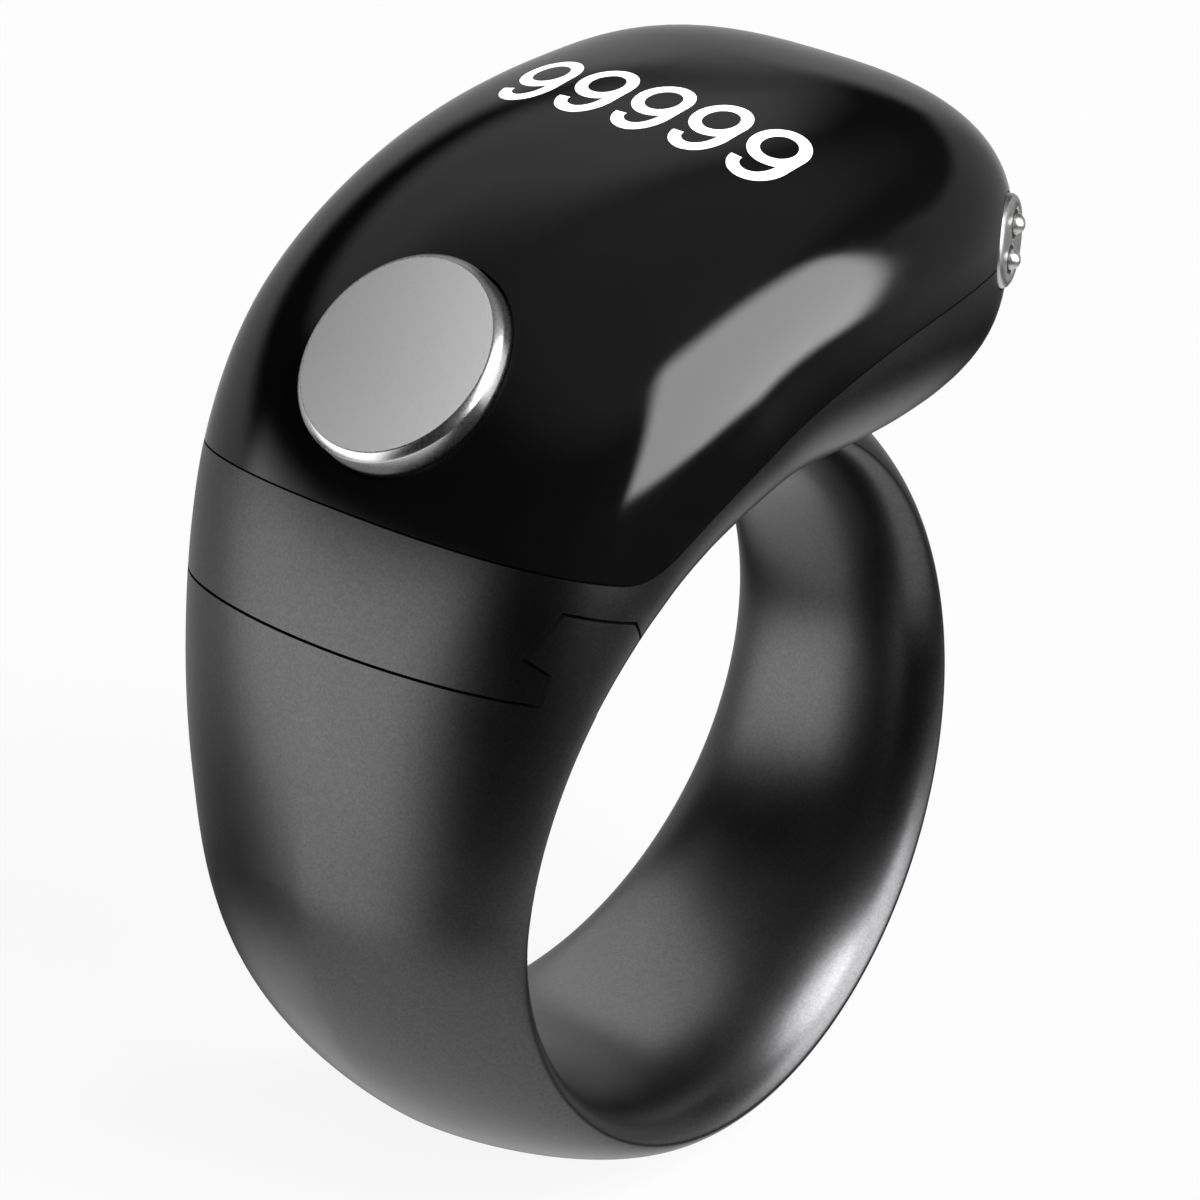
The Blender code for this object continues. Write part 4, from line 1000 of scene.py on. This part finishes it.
# Seals. Moulded silicone rubber, a dull dark grey with fine dust on it: the bead in the part line and
# the ring that keeps sweat out round the button's stem.
silicone, tree = new_material("moulded_silicone_rubber")
spot = add_node(tree, "ShaderNodeTexCoord").outputs["Object"]
bloom = add_node(
    tree, "ShaderNodeTexNoise", inputs={"Scale": 1 / (0.2 * MM), "Detail": 6.0}, links={"Vector": spot}
)
rubber = add_node(
    tree,
    "ShaderNodeMix",
    {"data_type": "RGBA"},
    {6: linear("#262627"), 7: linear("#3A3A3C")},
    {0: bloom.outputs["Fac"]},
)
dull = add_node(
    tree,
    "ShaderNodeMapRange",
    inputs={"To Min": 0.55, "To Max": 0.75},
    links={"Value": bloom.outputs["Fac"]},
)
grain = add_node(
    tree,
    "ShaderNodeBump",
    inputs={"Strength": 0.3, "Distance": 0.008 * MM},
    links={"Height": bloom.outputs["Fac"]},
)
shader = add_node(
    tree,
    "ShaderNodeBsdfPrincipled",
    inputs={"IOR": 1.41},
    links={"Base Color": rubber.outputs[2], "Roughness": dull.outputs[0], "Normal": grain.outputs[0]},
)
add_node(tree, "ShaderNodeOutputMaterial", links={"Surface": shader.outputs[0]})
dress(silicone, "cap_seal", "button_seal")

# Spring clip on the stem, and the cans of the motor and the crystal. Rolled steel sheet, with streaks
# that run the way it was rolled.
steel, tree = new_material("rolled_steel_sheet")
spot = add_node(tree, "ShaderNodeTexCoord").outputs["Object"]
rolling = add_node(tree, "ShaderNodeMapping", inputs={"Scale": (0.08, 1.0, 1.0)}, links={"Vector": spot})
streaks = add_node(
    tree,
    "ShaderNodeTexNoise",
    inputs={"Scale": 1 / (0.08 * MM), "Detail": 5.0},
    links={"Vector": rolling.outputs[0]},
)
sheet = add_node(
    tree,
    "ShaderNodeMix",
    {"data_type": "RGBA"},
    {6: linear("#A9A8A4"), 7: linear("#C4C3BF")},
    {0: streaks.outputs["Fac"]},
)
rolled = add_node(
    tree,
    "ShaderNodeMapRange",
    inputs={"To Min": 0.25, "To Max": 0.42},
    links={"Value": streaks.outputs["Fac"]},
)
shader = add_node(
    tree,
    "ShaderNodeBsdfPrincipled",
    inputs={"Metallic": 1.0},
    links={"Base Color": sheet.outputs[2], "Roughness": rolled.outputs[0]},
)
add_node(tree, "ShaderNodeOutputMaterial", links={"Surface": shader.outputs[0]})
dress(steel, "button_clip", "vibration_motor", "crystal")

# Switch under the stem, and the display's frame. Both are moulded in the black nylon, and the switch's
# plunger in white acetal, a waxy plastic with faint flow marks.
acetal, tree = new_material("white_acetal")
spot = add_node(tree, "ShaderNodeTexCoord").outputs["Object"]
flow = add_node(
    tree, "ShaderNodeTexNoise", inputs={"Scale": 1 / (0.4 * MM), "Detail": 3.0}, links={"Vector": spot}
)
wax = add_node(
    tree,
    "ShaderNodeMix",
    {"data_type": "RGBA"},
    {6: linear("#DEDBD3"), 7: linear("#EDEBE5")},
    {0: flow.outputs["Fac"]},
)
sheen = add_node(
    tree, "ShaderNodeMapRange", inputs={"To Min": 0.3, "To Max": 0.42}, links={"Value": flow.outputs["Fac"]}
)
shader = add_node(
    tree,
    "ShaderNodeBsdfPrincipled",
    inputs={"IOR": 1.48},
    links={"Base Color": wax.outputs[2], "Roughness": sheen.outputs[0]},
)
add_node(tree, "ShaderNodeOutputMaterial", links={"Surface": shader.outputs[0]})
dress(nylon, "switch_body", "display_frame")
dress(acetal, "switch_plunger")

# Circuit boards. Glass-fibre laminate under green solder mask, with copper tracks 0.2 mm wide that
# show through it a little lighter, in rows along the board.
mask, tree = new_material("green_solder_mask")
spot = add_node(tree, "ShaderNodeTexCoord").outputs["Object"]
rows = add_node(
    tree,
    "ShaderNodeTexBrick",
    {"offset": 0.5},
    {
        "Color1": linear("#1C5A35"),
        "Color2": linear("#226640"),
        "Mortar": linear("#2F7C4C"),
        "Scale": 1 / (1.0 * MM),
        "Mortar Size": 0.1,
        "Mortar Smooth": 0.1,
        "Brick Width": 1.6,
        "Row Height": 0.7,
    },
    {"Vector": spot},
)
weave = add_node(
    tree, "ShaderNodeTexNoise", inputs={"Scale": 1 / (0.3 * MM), "Detail": 4.0}, links={"Vector": spot}
)
mask_gloss = add_node(
    tree,
    "ShaderNodeMapRange",
    inputs={"To Min": 0.25, "To Max": 0.4},
    links={"Value": weave.outputs["Fac"]},
)
raised = add_node(
    tree,
    "ShaderNodeBump",
    inputs={"Strength": 0.3, "Distance": 0.02 * MM},
    links={"Height": rows.outputs["Fac"]},
)
shader = add_node(
    tree,
    "ShaderNodeBsdfPrincipled",
    inputs={"IOR": 1.55},
    links={
        "Base Color": rows.outputs["Color"],
        "Roughness": mask_gloss.outputs[0],
        "Normal": raised.outputs[0],
    },
)
add_node(tree, "ShaderNodeOutputMaterial", links={"Surface": shader.outputs[0]})
dress(mask, "main_board", "button_board")

# Flat strips from the boards to the display and the switch. Amber polyimide film over copper lines
# 0.3 mm apart, which show through it as paler stripes.
amber, tree = new_material("amber_polyimide_film")
spot = add_node(tree, "ShaderNodeTexCoord").outputs["Object"]
copper_lines = add_node(
    tree,
    "ShaderNodeTexWave",
    {"bands_direction": "Y"},
    {"Scale": 2 * math.pi / (20 * 0.3 * MM), "Distortion": 0.0},
    {"Vector": spot},
)
film = add_node(
    tree,
    "ShaderNodeMix",
    {"data_type": "RGBA"},
    {6: linear("#9A5A16"), 7: linear("#C98A45")},
    {0: copper_lines.outputs["Fac"]},
)
film_gloss = add_node(
    tree,
    "ShaderNodeMapRange",
    inputs={"To Min": 0.22, "To Max": 0.36},
    links={"Value": copper_lines.outputs["Fac"]},
)
shader = add_node(
    tree,
    "ShaderNodeBsdfPrincipled",
    inputs={"IOR": 1.6},
    links={"Base Color": film.outputs[2], "Roughness": film_gloss.outputs[0]},
)
add_node(tree, "ShaderNodeOutputMaterial", links={"Surface": shader.outputs[0]})
dress(amber, "display_flex", "button_flex")

# Display. Dark glass over rows of pixels 0.1 mm apart, which show as a fine grid in low light.
pixels, tree = new_material("pixelled_display_glass")
spot = add_node(tree, "ShaderNodeTexCoord").outputs["Object"]
grid = add_node(
    tree,
    "ShaderNodeTexBrick",
    {"offset": 0.0},
    {
        "Color1": linear("#0E1012"),
        "Color2": linear("#121416"),
        "Mortar": linear("#26292C"),
        "Scale": 1 / (1.0 * MM),
        "Mortar Size": 0.02,
        "Brick Width": 0.2,
        "Row Height": 0.2,
    },
    {"Vector": spot},
)
wipe = add_node(
    tree, "ShaderNodeTexNoise", inputs={"Scale": 1 / (1.5 * MM), "Detail": 4.0}, links={"Vector": spot}
)
glass_gloss = add_node(
    tree,
    "ShaderNodeMapRange",
    inputs={"To Min": 0.05, "To Max": 0.14},
    links={"Value": wipe.outputs["Fac"]},
)
shader = add_node(
    tree,
    "ShaderNodeBsdfPrincipled",
    inputs={"IOR": 1.52},
    links={"Base Color": grid.outputs["Color"], "Roughness": glass_gloss.outputs[0]},
)
add_node(tree, "ShaderNodeOutputMaterial", links={"Surface": shader.outputs[0]})
dress(pixels, "display_panel")

# Chip on the main board. Black epoxy with silica grains in it, a little rough from the mould.
epoxy, tree = new_material("epoxy_mould_compound")
spot = add_node(tree, "ShaderNodeTexCoord").outputs["Object"]
silica = add_node(tree, "ShaderNodeTexVoronoi", inputs={"Scale": 1 / (0.08 * MM)}, links={"Vector": spot})
grains = add_node(tree, "ShaderNodeSeparateColor", links={0: silica.outputs["Color"]})
moulded = add_node(
    tree,
    "ShaderNodeMix",
    {"data_type": "RGBA"},
    {6: linear("#18181A"), 7: linear("#2A2A2C")},
    {0: grains.outputs[0]},
)
pitted = add_node(
    tree, "ShaderNodeMapRange", inputs={"To Min": 0.5, "To Max": 0.68}, links={"Value": grains.outputs[1]}
)
shader = add_node(
    tree,
    "ShaderNodeBsdfPrincipled",
    inputs={"IOR": 1.55},
    links={"Base Color": moulded.outputs[2], "Roughness": pitted.outputs[0]},
)
add_node(tree, "ShaderNodeOutputMaterial", links={"Surface": shader.outputs[0]})
dress(epoxy, "controller_chip")

# Antenna. A block of fired ceramic, off-white and faintly speckled from the kiln.
ceramic, tree = new_material("fired_ceramic")
spot = add_node(tree, "ShaderNodeTexCoord").outputs["Object"]
speckle = add_node(
    tree, "ShaderNodeTexNoise", inputs={"Scale": 1 / (0.1 * MM), "Detail": 6.0}, links={"Vector": spot}
)
fired = add_node(
    tree,
    "ShaderNodeMix",
    {"data_type": "RGBA"},
    {6: linear("#CFCBBF"), 7: linear("#E4E1D8")},
    {0: speckle.outputs["Fac"]},
)
bisque = add_node(
    tree,
    "ShaderNodeMapRange",
    inputs={"To Min": 0.4, "To Max": 0.6},
    links={"Value": speckle.outputs["Fac"]},
)
shader = add_node(
    tree,
    "ShaderNodeBsdfPrincipled",
    inputs={"IOR": 1.6},
    links={"Base Color": fired.outputs[2], "Roughness": bisque.outputs[0]},
)
add_node(tree, "ShaderNodeOutputMaterial", links={"Surface": shader.outputs[0]})
dress(ceramic, "antenna")

# Pads under the motor and the battery. Die-cut open-cell foam, with cells about 0.25 mm across.
foam, tree = new_material("open_cell_foam")
spot = add_node(tree, "ShaderNodeTexCoord").outputs["Object"]
cells = add_node(tree, "ShaderNodeTexVoronoi", inputs={"Scale": 1 / (0.25 * MM)}, links={"Vector": spot})
# Foam colour on the struts, darkened in the cell hollows as painted shade.
strut_tone_and_hollow_shade = add_node(
    tree,
    "ShaderNodeMix",
    {"data_type": "RGBA"},
    {6: linear("#1D1D1F"), 7: linear("#3E3E41")},
    {0: cells.outputs["Distance"]},
)
hollows = add_node(
    tree,
    "ShaderNodeBump",
    inputs={"Strength": 0.7, "Distance": 0.1 * MM},
    links={"Height": cells.outputs["Distance"]},
)
shader = add_node(
    tree,
    "ShaderNodeBsdfPrincipled",
    inputs={"Roughness": 0.92},
    links={"Base Color": strut_tone_and_hollow_shade.outputs[2], "Normal": hollows.outputs[0]},
)
add_node(tree, "ShaderNodeOutputMaterial", links={"Surface": shader.outputs[0]})
dress(foam, "motor_pad", "battery_pad")

# Battery cell. A lithium pouch in aluminium laminate, pressed flat, with soft wrinkles in the foil.
pouch, tree = new_material("aluminium_pouch_foil")
spot = add_node(tree, "ShaderNodeTexCoord").outputs["Object"]
wrinkles = add_node(
    tree, "ShaderNodeTexNoise", inputs={"Scale": 1 / (1.2 * MM), "Detail": 4.0}, links={"Vector": spot}
)
foil = add_node(
    tree,
    "ShaderNodeMix",
    {"data_type": "RGBA"},
    {6: linear("#AEB0B2"), 7: linear("#C6C8CA")},
    {0: wrinkles.outputs["Fac"]},
)
foil_gloss = add_node(
    tree,
    "ShaderNodeMapRange",
    inputs={"To Min": 0.28, "To Max": 0.45},
    links={"Value": wrinkles.outputs["Fac"]},
)
creases = add_node(
    tree,
    "ShaderNodeBump",
    inputs={"Strength": 0.5, "Distance": 0.08 * MM},
    links={"Height": wrinkles.outputs["Fac"]},
)
shader = add_node(
    tree,
    "ShaderNodeBsdfPrincipled",
    inputs={"Metallic": 1.0},
    links={"Base Color": foil.outputs[2], "Roughness": foil_gloss.outputs[0], "Normal": creases.outputs[0]},
)
add_node(tree, "ShaderNodeOutputMaterial", links={"Surface": shader.outputs[0]})
dress(pouch, "battery_cell")

# Battery leads. Stranded wire in extruded PVC, one red and one black, with the strands' twist just
# showing through the skin every 0.6 mm.
for name, dark, pale in (("pos", "#8E1512", "#B0201B"), ("neg", "#151516", "#262628")):
    sheath, tree = new_material(f"extruded_pvc_lead_{name}")
    spot = add_node(tree, "ShaderNodeTexCoord").outputs["Object"]
    twist = add_node(
        tree,
        "ShaderNodeTexWave",
        {"bands_direction": "DIAGONAL"},
        {"Scale": 2 * math.pi / (20 * 0.6 * MM), "Distortion": 1.0},
        {"Vector": spot},
    )
    skin_tone = add_node(
        tree,
        "ShaderNodeMix",
        {"data_type": "RGBA"},
        {6: linear(dark), 7: linear(pale)},
        {0: twist.outputs["Fac"]},
    )
    pvc_gloss = add_node(
        tree,
        "ShaderNodeMapRange",
        inputs={"To Min": 0.32, "To Max": 0.45},
        links={"Value": twist.outputs["Fac"]},
    )
    shader = add_node(
        tree,
        "ShaderNodeBsdfPrincipled",
        inputs={"IOR": 1.53},
        links={"Base Color": skin_tone.outputs[2], "Roughness": pvc_gloss.outputs[0]},
    )
    add_node(tree, "ShaderNodeOutputMaterial", links={"Surface": shader.outputs[0]})
    dress(sheath, f"battery_lead_{name}")
